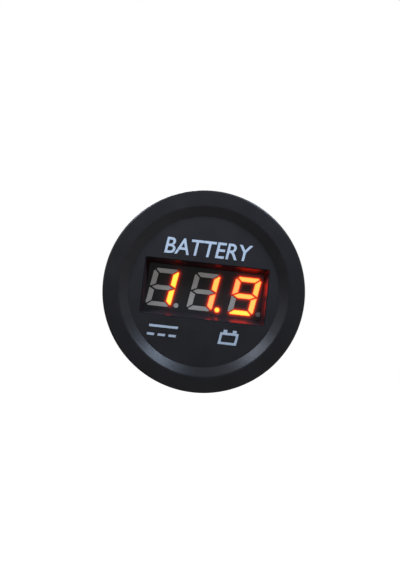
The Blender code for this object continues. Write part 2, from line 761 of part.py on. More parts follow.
def voltage_regulator():
    # Flat package on the right of the board, its legs towards the edge and its lug inwards
    reach = REGULATOR_WIDTH + REGULATOR_LEG_LENGTH
    outer = edge_offset(0.0, REGULATOR_LENGTH / 2)
    body_x = outer - REGULATOR_LEG_LENGTH - REGULATOR_WIDTH / 2
    size = (REGULATOR_WIDTH, REGULATOR_LENGTH, REGULATOR_HEIGHT)
    body = add_part(block("voltage_regulator", size, solder_z, (body_x, 0.0)), chip_black)
    leg_size = (reach, REGULATOR_LEG_WIDTH, LUG_THICKNESS)
    leg = block("regulator_leg", leg_size, solder_z, (outer - reach / 2, 0.0))
    places = [(0.0, (i - (REGULATOR_LEGS - 1) / 2) * REGULATOR_LEG_PITCH) for i in range(REGULATOR_LEGS)]
    combine(body, repeated("regulator_legs", leg, places), "UNION")
    return body


def polarity_diode():
    # Drafted package on the left of the board with a lug at each end
    x = -edge_offset(DIODE_WIDTH / 2, DIODE_LENGTH / 2 + DIODE_LUG_LENGTH)
    size = (DIODE_WIDTH, DIODE_LENGTH, DIODE_HEIGHT)
    body = block("polarity_diode", size, solder_z, (x, 0.0), taper=(DIODE_DRAFT, DIODE_DRAFT))
    add_part(body, chip_black)
    lug_size = (DIODE_LUG_WIDTH, DIODE_LENGTH + 2 * DIODE_LUG_LENGTH, LUG_THICKNESS)
    combine(body, block("diode_lugs", lug_size, solder_z, (x, 0.0)), "UNION")
    return body


def filter_capacitor():
    # Round can on a square base with two cut corners, at the bottom of the board
    y = -edge_offset(CAN_BASE / 2, CAN_BASE / 2)
    half = CAN_BASE / 2
    cut = half - CAN_BASE_CORNER
    outline = [(-half, -cut), (-cut, -half), (cut, -half), (half, -cut), (half, half), (-half, half)]
    base = plate("filter_capacitor", [outline], solder_z, CAN_BASE_HEIGHT)
    base.location.y = y
    body = as_mesh(add_part(base, aluminium_can))
    top = solder_z - CAN_BASE_HEIGHT / 2
    bottom = solder_z - CAN_HEIGHT
    can = [
        (0.0, top),
        (CAN_RADIUS, top),
        (CAN_RADIUS, bottom + CAN_EDGE),
        (CAN_RADIUS - CAN_EDGE, bottom),
        (0.0, bottom),
    ]
    combine(body, repeated("can", turned("can_single", can, steps=SMALL_STEPS), [(0.0, y)]), "UNION")
    return body


def chip_part(name, size, center, skin):
    # Small block with metal ends that stand a little proud, its length along x
    body = block(name, (size[0] - CHIP_CAP_LENGTH, size[1], size[2]), solder_z, center)
    for vert in body.data.vertices:
        if vert.co.z > solder_z - size[2] / 2:
            vert.co.z -= CHIP_CAP_RISE
    add_part(body, skin)
    end_size = (CHIP_CAP_LENGTH, size[1] + 2 * CHIP_CAP_RISE, size[2] + CHIP_CAP_RISE)
    for side in (-1, 1):
        x = center[0] + side * (size[0] - CHIP_CAP_LENGTH) / 2
        combine(body, block(f"{name}_end_{side}", end_size, solder_z, (x, center[1])), "UNION")
    return body


def chip_parts():
    # Resistors beside the can and the trimmer, and the ceramic capacitor above the regulator
    resistor = (RESISTOR_LENGTH, RESISTOR_WIDTH, RESISTOR_HEIGHT)
    beside = max(CAN_BASE, TRIMMER_SIZE) / 2 + CHIP_SPACING
    x = beside + RESISTOR_LENGTH / 2
    y = edge_offset(RESISTOR_WIDTH / 2 + CHIP_CAP_RISE, beside + RESISTOR_LENGTH)
    for number, (across, up) in enumerate(((-1, 1), (1, 1), (-1, -1), (1, -1)), start=1):
        chip_part(f"chip_resistor_{number}", resistor, (across * x, up * y), ceramic_tan)
    ceramic = (CERAMIC_LENGTH, CERAMIC_WIDTH, CERAMIC_HEIGHT)
    low = REGULATOR_LENGTH / 2 + CHIP_SPACING
    reach = edge_offset(CERAMIC_LENGTH / 2, low + CERAMIC_WIDTH)
    chip_part("ceramic_capacitor", ceramic, (reach, low + CERAMIC_WIDTH / 2), ceramic_tan)


def trimmer():
    # Square calibration trimmer at the top of the board; the rotor turns in its well
    y = edge_offset(TRIMMER_SIZE / 2, TRIMMER_SIZE / 2)
    size = (TRIMMER_SIZE, TRIMMER_SIZE, TRIMMER_HEIGHT)
    body = add_part(block("trimmer_body", size, solder_z, (0.0, y)), trimmer_blue)
    back = solder_z - TRIMMER_HEIGHT
    well_radius = ROTOR_RADIUS + ROTOR_FIT
    well_floor = back + TRIMMER_WELL_DEPTH
    well = [(0.0, well_floor), (well_radius, well_floor), (well_radius, back - OVERCUT), (0.0, back - OVERCUT)]
    combine(body, repeated("well", turned("well_single", well, steps=SMALL_STEPS), [(0.0, y)]), "DIFFERENCE")

    rotor_top = well_floor - ROTOR_FIT
    rotor_back = back - ROTOR_RISE
    disc = [(0.0, rotor_top), (ROTOR_RADIUS, rotor_top), (ROTOR_RADIUS, rotor_back), (0.0, rotor_back)]
    rotor = add_part(turned("trimmer_rotor", disc, steps=SMALL_STEPS), rotor_white)
    rotor.location = (0.0, y, 0.0)
    slot_size = (2 * ROTOR_RADIUS + OVERCUT, ROTOR_SLOT_WIDTH, ROTOR_SLOT_DEPTH + OVERCUT)
    slot = block("rotor_slot", slot_size, rotor_back + ROTOR_SLOT_DEPTH, (0.0, y))
    combine(rotor, slot, "DIFFERENCE")
    return rotor


def curve_through(points, steps):
    # Smooth path through the points, with even steps between each two
    path = []
    for i in range(len(points) - 1):
        before = points[max(i - 1, 0)]
        start = points[i]
        end = points[i + 1]
        after = points[min(i + 2, len(points) - 1)]
        for k in range(steps):
            t = k / steps
            leave = (end - before) / 2
            arrive = (after - start) / 2
            path.append(
                start * (2 * t**3 - 3 * t**2 + 1)
                + leave * (t**3 - 2 * t**2 + t)
                + end * (3 * t**2 - 2 * t**3)
                + arrive * (t**3 - t**2)
            )
    return path + [points[-1]]


def lead(name, side, skin):
    # Wire from beside the blade's tail, where it is soldered, into its hole in the board
    beside = side * (tab_x + TAB_THICKNESS / 2 + SOLDER_GAP + LEAD_RADIUS)
    low = board_back_z - 4 * LEAD_RADIUS
    route = [
        Vector((beside, 0.0, tail_z + LEAD_RADIUS)),
        Vector((beside, 0.0, tail_end_z)),
        Vector(((beside + side * lead_x) / 2, lead_y / 2, (tail_end_z + low) / 2)),
        Vector((side * lead_x, lead_y, low)),
        Vector((side * lead_x, lead_y, board_z - SEAT_GAP)),
    ]
    path = curve_through(route, 4)
    curve = bpy.data.curves.new(name, "CURVE")
    curve.dimensions = "3D"
    curve.bevel_depth = LEAD_RADIUS
    curve.bevel_resolution = 2
    curve.use_fill_caps = True
    spline = curve.splines.new("POLY")
    spline.points.add(len(path) - 1)
    for point, place in zip(spline.points, path):
        point.co = (*place, 1.0)
    return add_part(bpy.data.objects.new(name, curve), skin)


front_housing()
mounting_nut()
panel_washer()
rear_cap()
terminal("terminal_positive", 1)
terminal("terminal_negative", -1)
display()
main_board()
microcontroller()
voltage_regulator()
polarity_diode()
filter_capacitor()
chip_parts()
trimmer()
lead("lead_positive", 1, red_sleeve)
lead("lead_negative", -1, black_sleeve)
bpy.context.view_layer.update()
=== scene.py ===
import math

import bmesh
import bpy
from mathutils import Matrix, Vector


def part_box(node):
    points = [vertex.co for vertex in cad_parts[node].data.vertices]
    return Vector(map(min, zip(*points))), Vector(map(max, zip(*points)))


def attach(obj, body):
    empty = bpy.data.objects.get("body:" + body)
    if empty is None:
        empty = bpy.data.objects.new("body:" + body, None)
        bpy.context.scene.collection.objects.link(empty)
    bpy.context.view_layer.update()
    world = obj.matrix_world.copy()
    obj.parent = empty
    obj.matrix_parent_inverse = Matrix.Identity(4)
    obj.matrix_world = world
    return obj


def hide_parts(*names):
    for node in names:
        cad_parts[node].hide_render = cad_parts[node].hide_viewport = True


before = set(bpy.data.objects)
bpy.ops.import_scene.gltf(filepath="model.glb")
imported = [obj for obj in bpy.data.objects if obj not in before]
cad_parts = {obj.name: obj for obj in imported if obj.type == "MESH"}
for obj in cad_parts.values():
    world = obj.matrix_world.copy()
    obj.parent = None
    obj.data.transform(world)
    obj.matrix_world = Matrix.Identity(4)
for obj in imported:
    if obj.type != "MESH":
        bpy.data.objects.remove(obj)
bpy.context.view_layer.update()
mm = 0.001
weld = 0.0005 * mm
hair = 0.01  # mm, for telling places apart
quarterTurn = math.radians(90)


def millimetres(node):
    low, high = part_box(node)
    return low / mm, high / mm


housingLow, housingHigh = millimetres("front_housing")
displayLow, displayHigh = millimetres("display_case")
washerLow, washerHigh = millimetres("panel_washer")
nutLow, nutHigh = millimetres("mounting_nut")
capLow, capHigh = millimetres("rear_cap")
bladeLow, bladeHigh = millimetres("terminal_positive")
boardLow, boardHigh = millimetres("main_board")

barrel = {
    "displayFit": 0.3,  # room around the display's corners
    "wall": 1.7,
    "flatDepth": 0.7,  # flats on the left and right
    "flatStart": 0.5,
    "root": -0.6,  # starts inside the flange
    "endRoom": 0.5,  # from the last row of the thread to the end
    "endRound": 0.49,
    "threadLead": 2.0,  # right-hand, the same as the coupling in the model
    "threadDepth": 0.68,
    "threadFlanks": (0.18, 0.82),  # start and end of a flank, as shares of half a lead
    "threadStart": 0.8,
    "threadFade": 1.2,
    "rowGap": 0.125,
    "boreRows": 12,
    "aroundSteps": 192,
    "runFit": 0.15,  # room between the barrel and what slides on it
}
boreRadius = math.hypot(displayHigh.x, displayHigh.z) + barrel["displayFit"]
barrelRadius = boreRadius + barrel["wall"]
flatX = barrelRadius - barrel["flatDepth"]
ringHole = barrelRadius + barrel["runFit"]
flangeRadius = housingHigh.x
rimY = housingLow.y
barrelEnd = housingHigh.y
print("frame loaded", len(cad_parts), "nodes")


# Small helpers for node trees

def setSockets(tree, node, sockets):
    # Each input takes a link or a plain value
    for key, value in sockets.items():
        if isinstance(value, bpy.types.NodeSocket):
            tree.links.new(value, node.inputs[key])
        else:
            node.inputs[key].default_value = value


def addNode(tree, kind, sockets=None, **settings):
    made = tree.nodes.new(kind)
    for key, value in settings.items():
        setattr(made, key, value)
    setSockets(tree, made, sockets or {})
    return made


def maths(tree, operation, *values):
    return addNode(tree, "ShaderNodeMath", dict(enumerate(values)), operation=operation).outputs[0]


def newMaterial(name):
    made = bpy.data.materials.new(name)
    made.use_nodes = True
    tree = made.node_tree
    place = addNode(tree, "ShaderNodeTexCoord").outputs["Object"]
    return made, tree, tree.nodes["Principled BSDF"], place


def noiseAt(tree, place, size, detail=2.0, roughness=0.5):
    # Noise whose features are about size mm across
    sockets = {"Vector": place, "Scale": 1.0 / (size * mm), "Detail": detail, "Roughness": roughness}
    return addNode(tree, "ShaderNodeTexNoise", sockets).outputs["Fac"]


def spread(tree, value, low=0.0, high=1.0, start=0.3, end=0.7):
    sockets = {"Value": value, "From Min": start, "From Max": end, "To Min": low, "To Max": high}
    return addNode(tree, "ShaderNodeMapRange", sockets).outputs["Result"]


def tinted(tree, value, low, high):
    sockets = {0: value, 6: (*low, 1.0), 7: (*high, 1.0)}  # the factor and the two colours
    return addNode(tree, "ShaderNodeMix", sockets, data_type="RGBA").outputs[2]


def bumped(tree, height, strength, depth):
    sockets = {"Height": height, "Strength": strength, "Distance": depth * mm}
    return addNode(tree, "ShaderNodeBump", sockets).outputs["Normal"]


def attribute(tree, name):
    return addNode(tree, "ShaderNodeAttribute", attribute_name=name).outputs["Fac"]


def scaled(colour, share):
    return tuple(c * share for c in colour)


# Finishes

plastic = {"roughSwing": 0.12, "bump": 0.35}
strand = {
    "stretch": 0.04,  # along the strip
    "line": 0.12,
    "cloud": 2.5,
    "dark": 0.86,
    "roughSwing": (-0.08, 0.1),
    "bump": 0.2,
    "depth": 0.004,
}
ink = {"grain": 0.25, "thin": 0.85}
glow = {
    "strength": 48.0,
    "stops": (
        # way from the edge to the middle of a bar, red, shares of the green and of the blue
        (0.0, 1.2, 0.5, 0.5),
        (0.15, 3.0, 0.88, 0.8),
        (0.5, 48.0, 1.0, 1.0),
    ),
    "milkSize": 0.4,
    "milk": ((0.03, 0.02, 0.015), (0.045, 0.03, 0.02)),
}
displayFace = {"grain": 0.25, "dark": 0.8}
mask = {"grain": 0.6, "ground": (0.012, 0.11, 0.045), "track": (0.03, 0.2, 0.08)}


def mouldedPlastic(name, colour, roughness, specular, grain=0.35, depth=0.006, cloud=4.0, shift=0.12):
    made, tree, shader, place = newMaterial(name)
    clouds = spread(tree, noiseAt(tree, place, cloud, detail=3.0))
    fine = noiseAt(tree, place, grain, detail=3.0, roughness=0.6)
    swing = plastic["roughSwing"]
    setSockets(tree, shader, {
        "Base Color": tinted(tree, clouds, scaled(colour, 1 - shift), scaled(colour, 1 + shift)),
        "Roughness": maths(tree, "MULTIPLY_ADD", fine, swing, roughness - swing / 2),
        "Normal": bumped(tree, fine, plastic["bump"], depth),
        "Specular IOR Level": specular,
    })
    return made


def strandMetal(name, colour, roughness):
    made, tree, shader, place = newMaterial(name)
    along = addNode(tree, "ShaderNodeMapping", {"Vector": place, "Scale": (1.0, strand["stretch"], 1.0)})
    lines = noiseAt(tree, along.outputs["Vector"], strand["line"], detail=4.0)
    clouds = spread(tree, noiseAt(tree, place, strand["cloud"]))
    setSockets(tree, shader, {
        "Base Color": tinted(tree, clouds, scaled(colour, strand["dark"]), colour),
        "Roughness": spread(tree, lines, *(roughness + swing for swing in strand["roughSwing"])),
        "Normal": bumped(tree, lines, strand["bump"], strand["depth"]),
        "Metallic": 1.0,
    })
    return made


def printedInk(name, colour):
    made, tree, shader, place = newMaterial(name)
    grain = noiseAt(tree, place, ink["grain"], detail=3.0)
    setSockets(tree, shader, {
        "Base Color": tinted(tree, spread(tree, grain), scaled(colour, ink["thin"]), colour),
        "Roughness": spread(tree, grain, 0.45, 0.6),
        "Specular IOR Level": 0.3,
    })
    return made


def glowingBar(name, green, blue):
    # Deep red light that the eye takes for amber, strongest along the middle of a bar
    made, tree, shader, place = newMaterial(name)
    ramp = addNode(tree, "ShaderNodeValToRGB", {"Fac": attribute(tree, "core")})
    stops = ramp.color_ramp.elements
    stops.new(glow["stops"][1][0])
    for stop, (way, red, greenShare, blueShare) in zip(stops, glow["stops"]):
        stop.position = way
        light = (red, green * greenShare, blue * blueShare)
        stop.color = (*(part / glow["strength"] for part in light), 1.0)
    setSockets(tree, shader, {
        "Base Color": tinted(tree, noiseAt(tree, place, glow["milkSize"]), *glow["milk"]),
        "Emission Color": ramp.outputs["Color"],
        "Emission Strength": glow["strength"],
        "Roughness": 0.4,
        "Specular IOR Level": 0.1,
    })
    return made


def displayPlastic(name, colour, paintedFill, paintedBleedColour):
    # Black face with painted light: an even faint glow where little light reaches it, and a red glow
    # painted beside the lit bars
    made, tree, shader, place = newMaterial(name)
    fine = noiseAt(tree, place, displayFace["grain"], detail=3.0)
    setSockets(tree, shader, {
        "Base Color": tinted(tree, fine, scaled(colour, displayFace["dark"]), colour),
        "Roughness": spread(tree, fine, 0.42, 0.55),
        "Emission Color": tinted(tree, attribute(tree, "paintedBleed"), paintedFill, paintedBleedColour),
        "Emission Strength": 1.0,
        "Specular IOR Level": 0.2,
    })
    return made


def boardMask(name):
    made, tree, shader, place = newMaterial(name)
    turned = addNode(tree, "ShaderNodeMapping", {"Vector": place, "Rotation": (quarterTurn, 0, 0)})
    lines = {"Vector": turned.outputs["Vector"], "Scale": 420.0, "Mortar Size": 0.012}
    tracks = addNode(tree, "ShaderNodeTexBrick", lines).outputs["Fac"]
    setSockets(tree, shader, {
        "Base Color": tinted(tree, tracks, mask["ground"], mask["track"]),
        "Roughness": spread(tree, noiseAt(tree, place, mask["grain"]), 0.3, 0.42),
    })
    return made


caseBlack = mouldedPlastic("caseBlack", (0.0177, 0.0157, 0.016), 0.33, 0.14)
# A lighter copy of the case's black: painted light on the recessed face
faceBlack = mouldedPlastic("faceBlack", (0.0216, 0.0194, 0.0199), 0.36, 0.14)
# A darker copy of the case's black: painted shade on the window's walls in the recess
windowBlack = mouldedPlastic("windowBlack", (0.0128, 0.013, 0.014), 0.34, 0.0068, grain=0.8, depth=0.0004)
nutBlack = mouldedPlastic("nutBlack", (0.011, 0.011, 0.012), 0.48, 0.2)
washerBlack = mouldedPlastic("washerBlack", (0.016, 0.016, 0.017), 0.58, 0.2, grain=0.5)
# Its last two colours are painted light: an even faint glow, and a red glow beside the lit bars
displayBlack = displayPlastic(
    "displayBlack", (0.0085, 0.0083, 0.0086), (0.0045, 0.0047, 0.005), (1.0, 0.045, 0.015)
)
yellowGlow = glowingBar("yellowGlow", 0.93, 0.1)
orangeGlow = glowingBar("orangeGlow", 0.66, 0.125)
roseGlow = glowingBar("roseGlow", 0.52, 0.15)
segment = {"grain": 0.3, "depth": 0.001, "cloud": 1.2}
milkyGrey = mouldedPlastic("milkyGrey", (0.14, 0.132, 0.124), 0.42, 0.15, shift=0.08, **segment)
# A darker copy of the milky grey: painted shade on the last point, which the window's end wall shades
shadedGrey = mouldedPlastic("shadedGrey", (0.09, 0.078, 0.078), 0.42, 0.15, **segment)
for unlit, paintedGlowColour in ((milkyGrey, (0.13, 0.124, 0.121)), (shadedGrey, (0.045, 0.038, 0.038))):
    shader = unlit.node_tree.nodes["Principled BSDF"]  # painted glow, in place of the little light that reaches them inside the display
    setSockets(unlit.node_tree, shader, {"Emission Color": (*paintedGlowColour, 1.0), "Emission Strength": 1.0})
whiteInk = printedInk("whiteInk", (0.47, 0.52, 0.575))
platedBrass = strandMetal("platedBrass", (0.66, 0.64, 0.6), 0.3)
canAluminium = strandMetal("canAluminium", (0.74, 0.75, 0.77), 0.28)
castEpoxy = mouldedPlastic("castEpoxy", (0.72, 0.7, 0.64), 0.45, 0.4, grain=0.8, cloud=2.0, shift=0.06)
greenMask = boardMask("greenMask")
chipBlack = mouldedPlastic("chipBlack", (0.018, 0.018, 0.02), 0.5, 0.3, grain=0.15)
firedTan = mouldedPlastic("firedTan", (0.42, 0.27, 0.14), 0.45, 0.4, grain=0.12, cloud=0.6)
trimmerBlue = mouldedPlastic("trimmerBlue", (0.05, 0.14, 0.42), 0.4, 0.4, cloud=1.5)
rotorWhite = mouldedPlastic("rotorWhite", (0.78, 0.78, 0.76), 0.4, 0.4, cloud=1.0, shift=0.05)
sleeveRed = mouldedPlastic("sleeveRed", (0.45, 0.018, 0.016), 0.42, 0.4, cloud=2.0)
sleeveBlack = mouldedPlastic("sleeveBlack", (0.016, 0.016, 0.017), 0.42, 0.4, cloud=2.0)
print("finishes made")


# Small helpers for meshes

def meshFrom(name, points, edges=(), faces=()):
    made = bpy.data.meshes.new(name)
    made.from_pydata([Vector(p) * mm for p in points], list(edges), list(faces))
    return made


def newObject(name, data, *finishes):
    made = bpy.data.objects.new(name, data)
    bpy.context.scene.collection.objects.link(made)
    for finish in finishes:
        made.data.materials.append(finish)
    return made


def painted(piece, finish):
    piece.data.materials.clear()
    piece.data.materials.append(finish)
    return piece


def quarterTurned(piece, axis, shift):
    # Turned about an axis, then moved by shift in mm
    move = Matrix.Translation([s * mm for s in shift])
    piece.data.transform(move @ Matrix.Rotation(quarterTurn, 4, axis))
    return piece


def madePlain(source):
    # The evaluated shape as a plain mesh object of the same name
    bpy.context.view_layer.update()
    graph = bpy.context.evaluated_depsgraph_get()
    mesh = bpy.data.meshes.new_from_object(
        source.evaluated_get(graph), preserve_all_data_layers=True, depsgraph=graph
    )
    mesh.transform(source.matrix_world)
    name = source.name
    bpy.data.objects.remove(source, do_unlink=True)
    mesh.name = name
    return newObject(name, mesh)


def settled(piece, angle=30):
    shape = bmesh.new()
    shape.from_mesh(piece.data)
    bmesh.ops.remove_doubles(shape, verts=shape.verts, dist=weld)
    bmesh.ops.dissolve_degenerate(shape, edges=shape.edges, dist=weld)
    bmesh.ops.recalc_face_normals(shape, faces=shape.faces)
    shape.to_mesh(piece.data)
    shape.free()
    piece.data.shade_smooth()
    piece.data.set_sharp_from_angle(angle=math.radians(angle))
    return piece


def evenShaded(piece):
    # Normals follow the larger faces, so flat areas beside a small rounding stay flat
    step = piece.modifiers.new("shading", "WEIGHTED_NORMAL")
    step.keep_sharp = True
    return madePlain(piece)


def joinedBy(piece, other, operation):
    step = piece.modifiers.new(other.name, "BOOLEAN")
    step.operation = operation
    step.solver = "EXACT"
    step.object = other
    made = madePlain(piece)
    bpy.data.objects.remove(other, do_unlink=True)
    return made


def clamped(share):
    return max(0.0, min(1.0, share))


def roundCorners(corners, steps=5):
    # Corners are (across, along, radius); the ends stay as they are
    points = []
    last = len(corners) - 1
    for i, (across, along, radius) in enumerate(corners):
        here = Vector((across, along))
        if radius == 0 or i in (0, last):
            points.append((across, along))
            continue
        back = (Vector(corners[i - 1][:2]) - here).normalized()
        ahead = (Vector(corners[i + 1][:2]) - here).normalized()
        half = back.angle(ahead) / 2
        center = here + (back + ahead).normalized() * radius / math.sin(half)
        first = here + back * radius / math.tan(half) - center
        final = here + ahead * radius / math.tan(half) - center
        start = math.atan2(first.y, first.x)
        sweep = math.atan2(final.y, final.x) - start
        sweep = (sweep + math.pi) % (2 * math.pi) - math.pi
        for k in range(steps + 1):
            turn = start + sweep * k / steps
            points.append((center.x + radius * math.cos(turn), center.y + radius * math.sin(turn)))
    return points


def roundedBlock(name, low, high, sides=0.0, top=0.0, steps=3):
    # Box with rounded edges along y, and rounded edges around its far end
    shape = bmesh.new()

    def bevelled(edges, radius, segments):
        size = radius * mm
        bmesh.ops.bevel(shape, geom=edges, offset=size, segments=segments, profile=0.5, affect="EDGES")

    bmesh.ops.create_cube(shape, size=1.0)
    for vert in shape.verts:
        vert.co = [(low[i] + (vert.co[i] + 0.5) * (high[i] - low[i])) * mm for i in range(3)]
    if sides:
        along = [e for e in shape.edges if abs(e.verts[0].co.y - e.verts[1].co.y) > hair * mm]
        bevelled(along, sides, steps + 2)
    if top:
        far = [e for e in shape.edges if all(abs(v.co.y - high[1] * mm) < weld for v in e.verts)]
        bevelled(far, top, steps)
    mesh = bpy.data.meshes.new(name)
    shape.to_mesh(mesh)
    shape.free()
    return newObject(name, mesh)


# Trees that shape or place a form, with named inputs for their sizes and the finish

def startTree(name, *sizes):
    tree = bpy.data.node_groups.new(name, "GeometryNodeTree")
    face = tree.interface
    face.new_socket("Geometry", in_out="INPUT", socket_type="NodeSocketGeometry")
    for size in sizes:
        face.new_socket(size, in_out="INPUT", socket_type="NodeSocketFloat")
    face.new_socket("Finish", in_out="INPUT", socket_type="NodeSocketMaterial")
    face.new_socket("Geometry", in_out="OUTPUT", socket_type="NodeSocketGeometry")
    return tree, tree.nodes.new("NodeGroupInput").outputs


def endTree(tree, shape, finish):
    real = addNode(tree, "GeometryNodeRealizeInstances", {0: shape}).outputs[0]
    ready = addNode(tree, "GeometryNodeSetMaterial", {"Geometry": real, "Material": finish})
    tree.links.new(ready.outputs[0], tree.nodes.new("NodeGroupOutput").inputs[0])
    return tree


def useTree(piece, tree, values):
    nodes = piece.modifiers.new(tree.name, "NODES")
    nodes.node_group = tree
    for item in tree.interface.items_tree:
        if item.in_out == "INPUT" and item.name in values:
            nodes[item.identifier] = values[item.name]


def turnedFormTree():
    # Thread, grips and flats of a turned form
    sizes = ("Thread Lead", "Thread Depth", "Grip Count", "Grip Depth", "Grip Share", "Flat Distance")
    tree, given = startTree("turnedForm", *sizes)

    def weight(name):
        named = addNode(tree, "GeometryNodeInputNamedAttribute", {"Name": name}, data_type="FLOAT")
        return named.outputs[0]

    def product(first, *others):
        for other in others:
            first = maths(tree, "MULTIPLY", first, other)
        return first

    def less(first, *others):
        for other in others:
            first = maths(tree, "SUBTRACT", first, other)
        return first

    def eased(value, start, end):
        sockets = {"Value": value, "From Min": start, "From Max": end, "To Min": 1.0, "To Max": 0.0}
        return addNode(tree, "ShaderNodeMapRange", sockets, interpolation_type="SMOOTHSTEP").outputs[0]

    def fromMiddle(phase):
        return product(maths(tree, "ABSOLUTE", less(maths(tree, "FRACT", phase), 0.5)), 2.0)

    position = tree.nodes.new("GeometryNodeInputPosition").outputs[0]
    x, y, z = addNode(tree, "ShaderNodeSeparateXYZ", {0: position}).outputs
    turn = maths(tree, "DIVIDE", maths(tree, "ARCTAN2", x, z), 2 * math.pi)
    squares = maths(tree, "ADD", product(x, x), product(z, z))
    radius = maths(tree, "MAXIMUM", maths(tree, "SQRT", squares), weld)
    along = maths(tree, "DIVIDE", y, given["Thread Lead"])
    groove = eased(fromMiddle(less(along, turn)), *barrel["threadFlanks"])
    around = maths(tree, "MULTIPLY_ADD", turn, given["Grip Count"], 0.5)
    scallop = eased(fromMiddle(around), 0.0, given["Grip Share"])
    cut = product(groove, given["Thread Depth"], weight("threadWeight"))
    grip = product(scallop, given["Grip Depth"], weight("gripWeight"))
    share = maths(tree, "DIVIDE", less(radius, cut, grip), radius)
    newX = product(x, share)
    newZ = product(z, share)
    limit = maths(tree, "MINIMUM", newX, given["Flat Distance"])
    limit = maths(tree, "MAXIMUM", limit, product(given["Flat Distance"], -1.0))
    pulled = product(less(limit, newX), weight("flatWeight"))
    moved = addNode(tree, "ShaderNodeCombineXYZ", {0: maths(tree, "ADD", newX, pulled), 1: y, 2: newZ})
    sockets = {"Geometry": given["Geometry"], "Position": moved.outputs[0]}
    shaped = addNode(tree, "GeometryNodeSetPosition", sockets).outputs[0]
    return endTree(tree, shaped, given["Finish"])


turnedForm = turnedFormTree()


def turnedPiece(name, profile, finish, closed=True, steps=128, weights=None, **sizes):
    # Profile points are (radius, y); weights give the thread, grip and flat share of each point
    count = len(profile)
    edges = [(i, i + 1) for i in range(count - 1)] + ([(count - 1, 0)] if closed else [])
    mesh = meshFrom(name, [(radius, y, 0.0) for radius, y in profile], edges)
    for key in ("threadWeight", "gripWeight", "flatWeight"):
        layer = mesh.attributes.new(key, "FLOAT", "POINT")
        values = (weights or {}).get(key)
        if values:
            layer.data.foreach_set("value", values)
    source = newObject(name, mesh)
    screw = source.modifiers.new("revolve", "SCREW")
    screw.axis = "Y"
    screw.steps = steps
    screw.render_steps = steps
    screw.use_merge_vertices = True
    screw.merge_threshold = weld
    values = {
        "Thread Lead": barrel["threadLead"] * mm,
        "Thread Depth": 0.0,
        "Grip Count": 1.0,
        "Grip Depth": 0.0,
        "Grip Share": 1.0,
        "Flat Distance": 1.0,
        "Finish": finish,
    }
    useTree(source, turnedForm, values | sizes)
    return settled(madePlain(source))


def hold(piece, body, slot, *nodes):
    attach(piece, body)
    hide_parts(*nodes)


# Front housing: flange, sloped ring, face and flared window

housing = {
    "rimWidth": 2.9,
    "slopeWidth": 1.8,
    "faceDepth": 1.2,
    "slopeFoot": 0.25,
    "slopeTop": 0.9,
    "edgeRound": 0.35,
    "backRound": 0.2,
    "windowShift": (0.2, 0.07),  # the window sits a little to the right of the middle, and up
    "windowLap": (0.6, 0.75),  # how far the window's edge laps over the display, across and up
    "windowFlare": (0.74, 0.87),
    "windowDepth": 3.0,
    "windowCorner": 0.3,
    "windowEdge": 0.2,
    "faceMargin": 0.25,
    "faceRing": 0.5,  # outermost ring of the face
    "innerWall": 1.0,
    "sharpFrom": 28,  # degrees between faces
    "longSteps": 110,
    "shortSteps": 40,
    "cornerSteps": 5,
}
faceY = rimY + housing["faceDepth"]
windowBack = faceY + housing["windowDepth"]
slopeRadius = flangeRadius - housing["rimWidth"]
faceRadius = slopeRadius - housing["slopeWidth"]
rearHalf = Vector((displayHigh.x, displayHigh.z)) - Vector(housing["windowLap"])
frontHalf = rearHalf + Vector(housing["windowFlare"])


def windowStations():
    # Each station is a share of the straight sides and a direction round the corner
    corner = housing["windowCorner"]
    wide, high = frontHalf.x, frontHalf.y
    longEnd = math.atan2(high, wide - corner)
    shortEnd = math.atan2(high - corner, wide)
    longSide = []
    for i in range(1, housing["longSteps"]):
        turn = longEnd + (math.pi - 2 * longEnd) * i / housing["longSteps"]
        longSide.append(high / math.tan(turn) / (wide - corner))
    shortSide = []
    for i in range(1, housing["shortSteps"]):
        turn = -shortEnd + 2 * shortEnd * i / housing["shortSteps"]
        shortSide.append(wide * math.tan(turn) / (high - corner))

    def cornerRun(across, up, start):
        steps = housing["cornerSteps"]
        turns = [math.radians(start + 90 * k / steps) for k in range(steps + 1)]
        return [(across, up, math.cos(t), math.sin(t)) for t in turns]

    stations = [(1, t, 1, 0) for t in shortSide] + cornerRun(1, 1, 0)
    stations += [(t, 1, 0, 1) for t in longSide] + cornerRun(-1, 1, 90)
    stations += [(-1, -t, -1, 0) for t in shortSide] + cornerRun(-1, -1, 180)
    stations += [(-t, -1, 0, -1) for t in longSide] + cornerRun(1, -1, 270)
    return stations


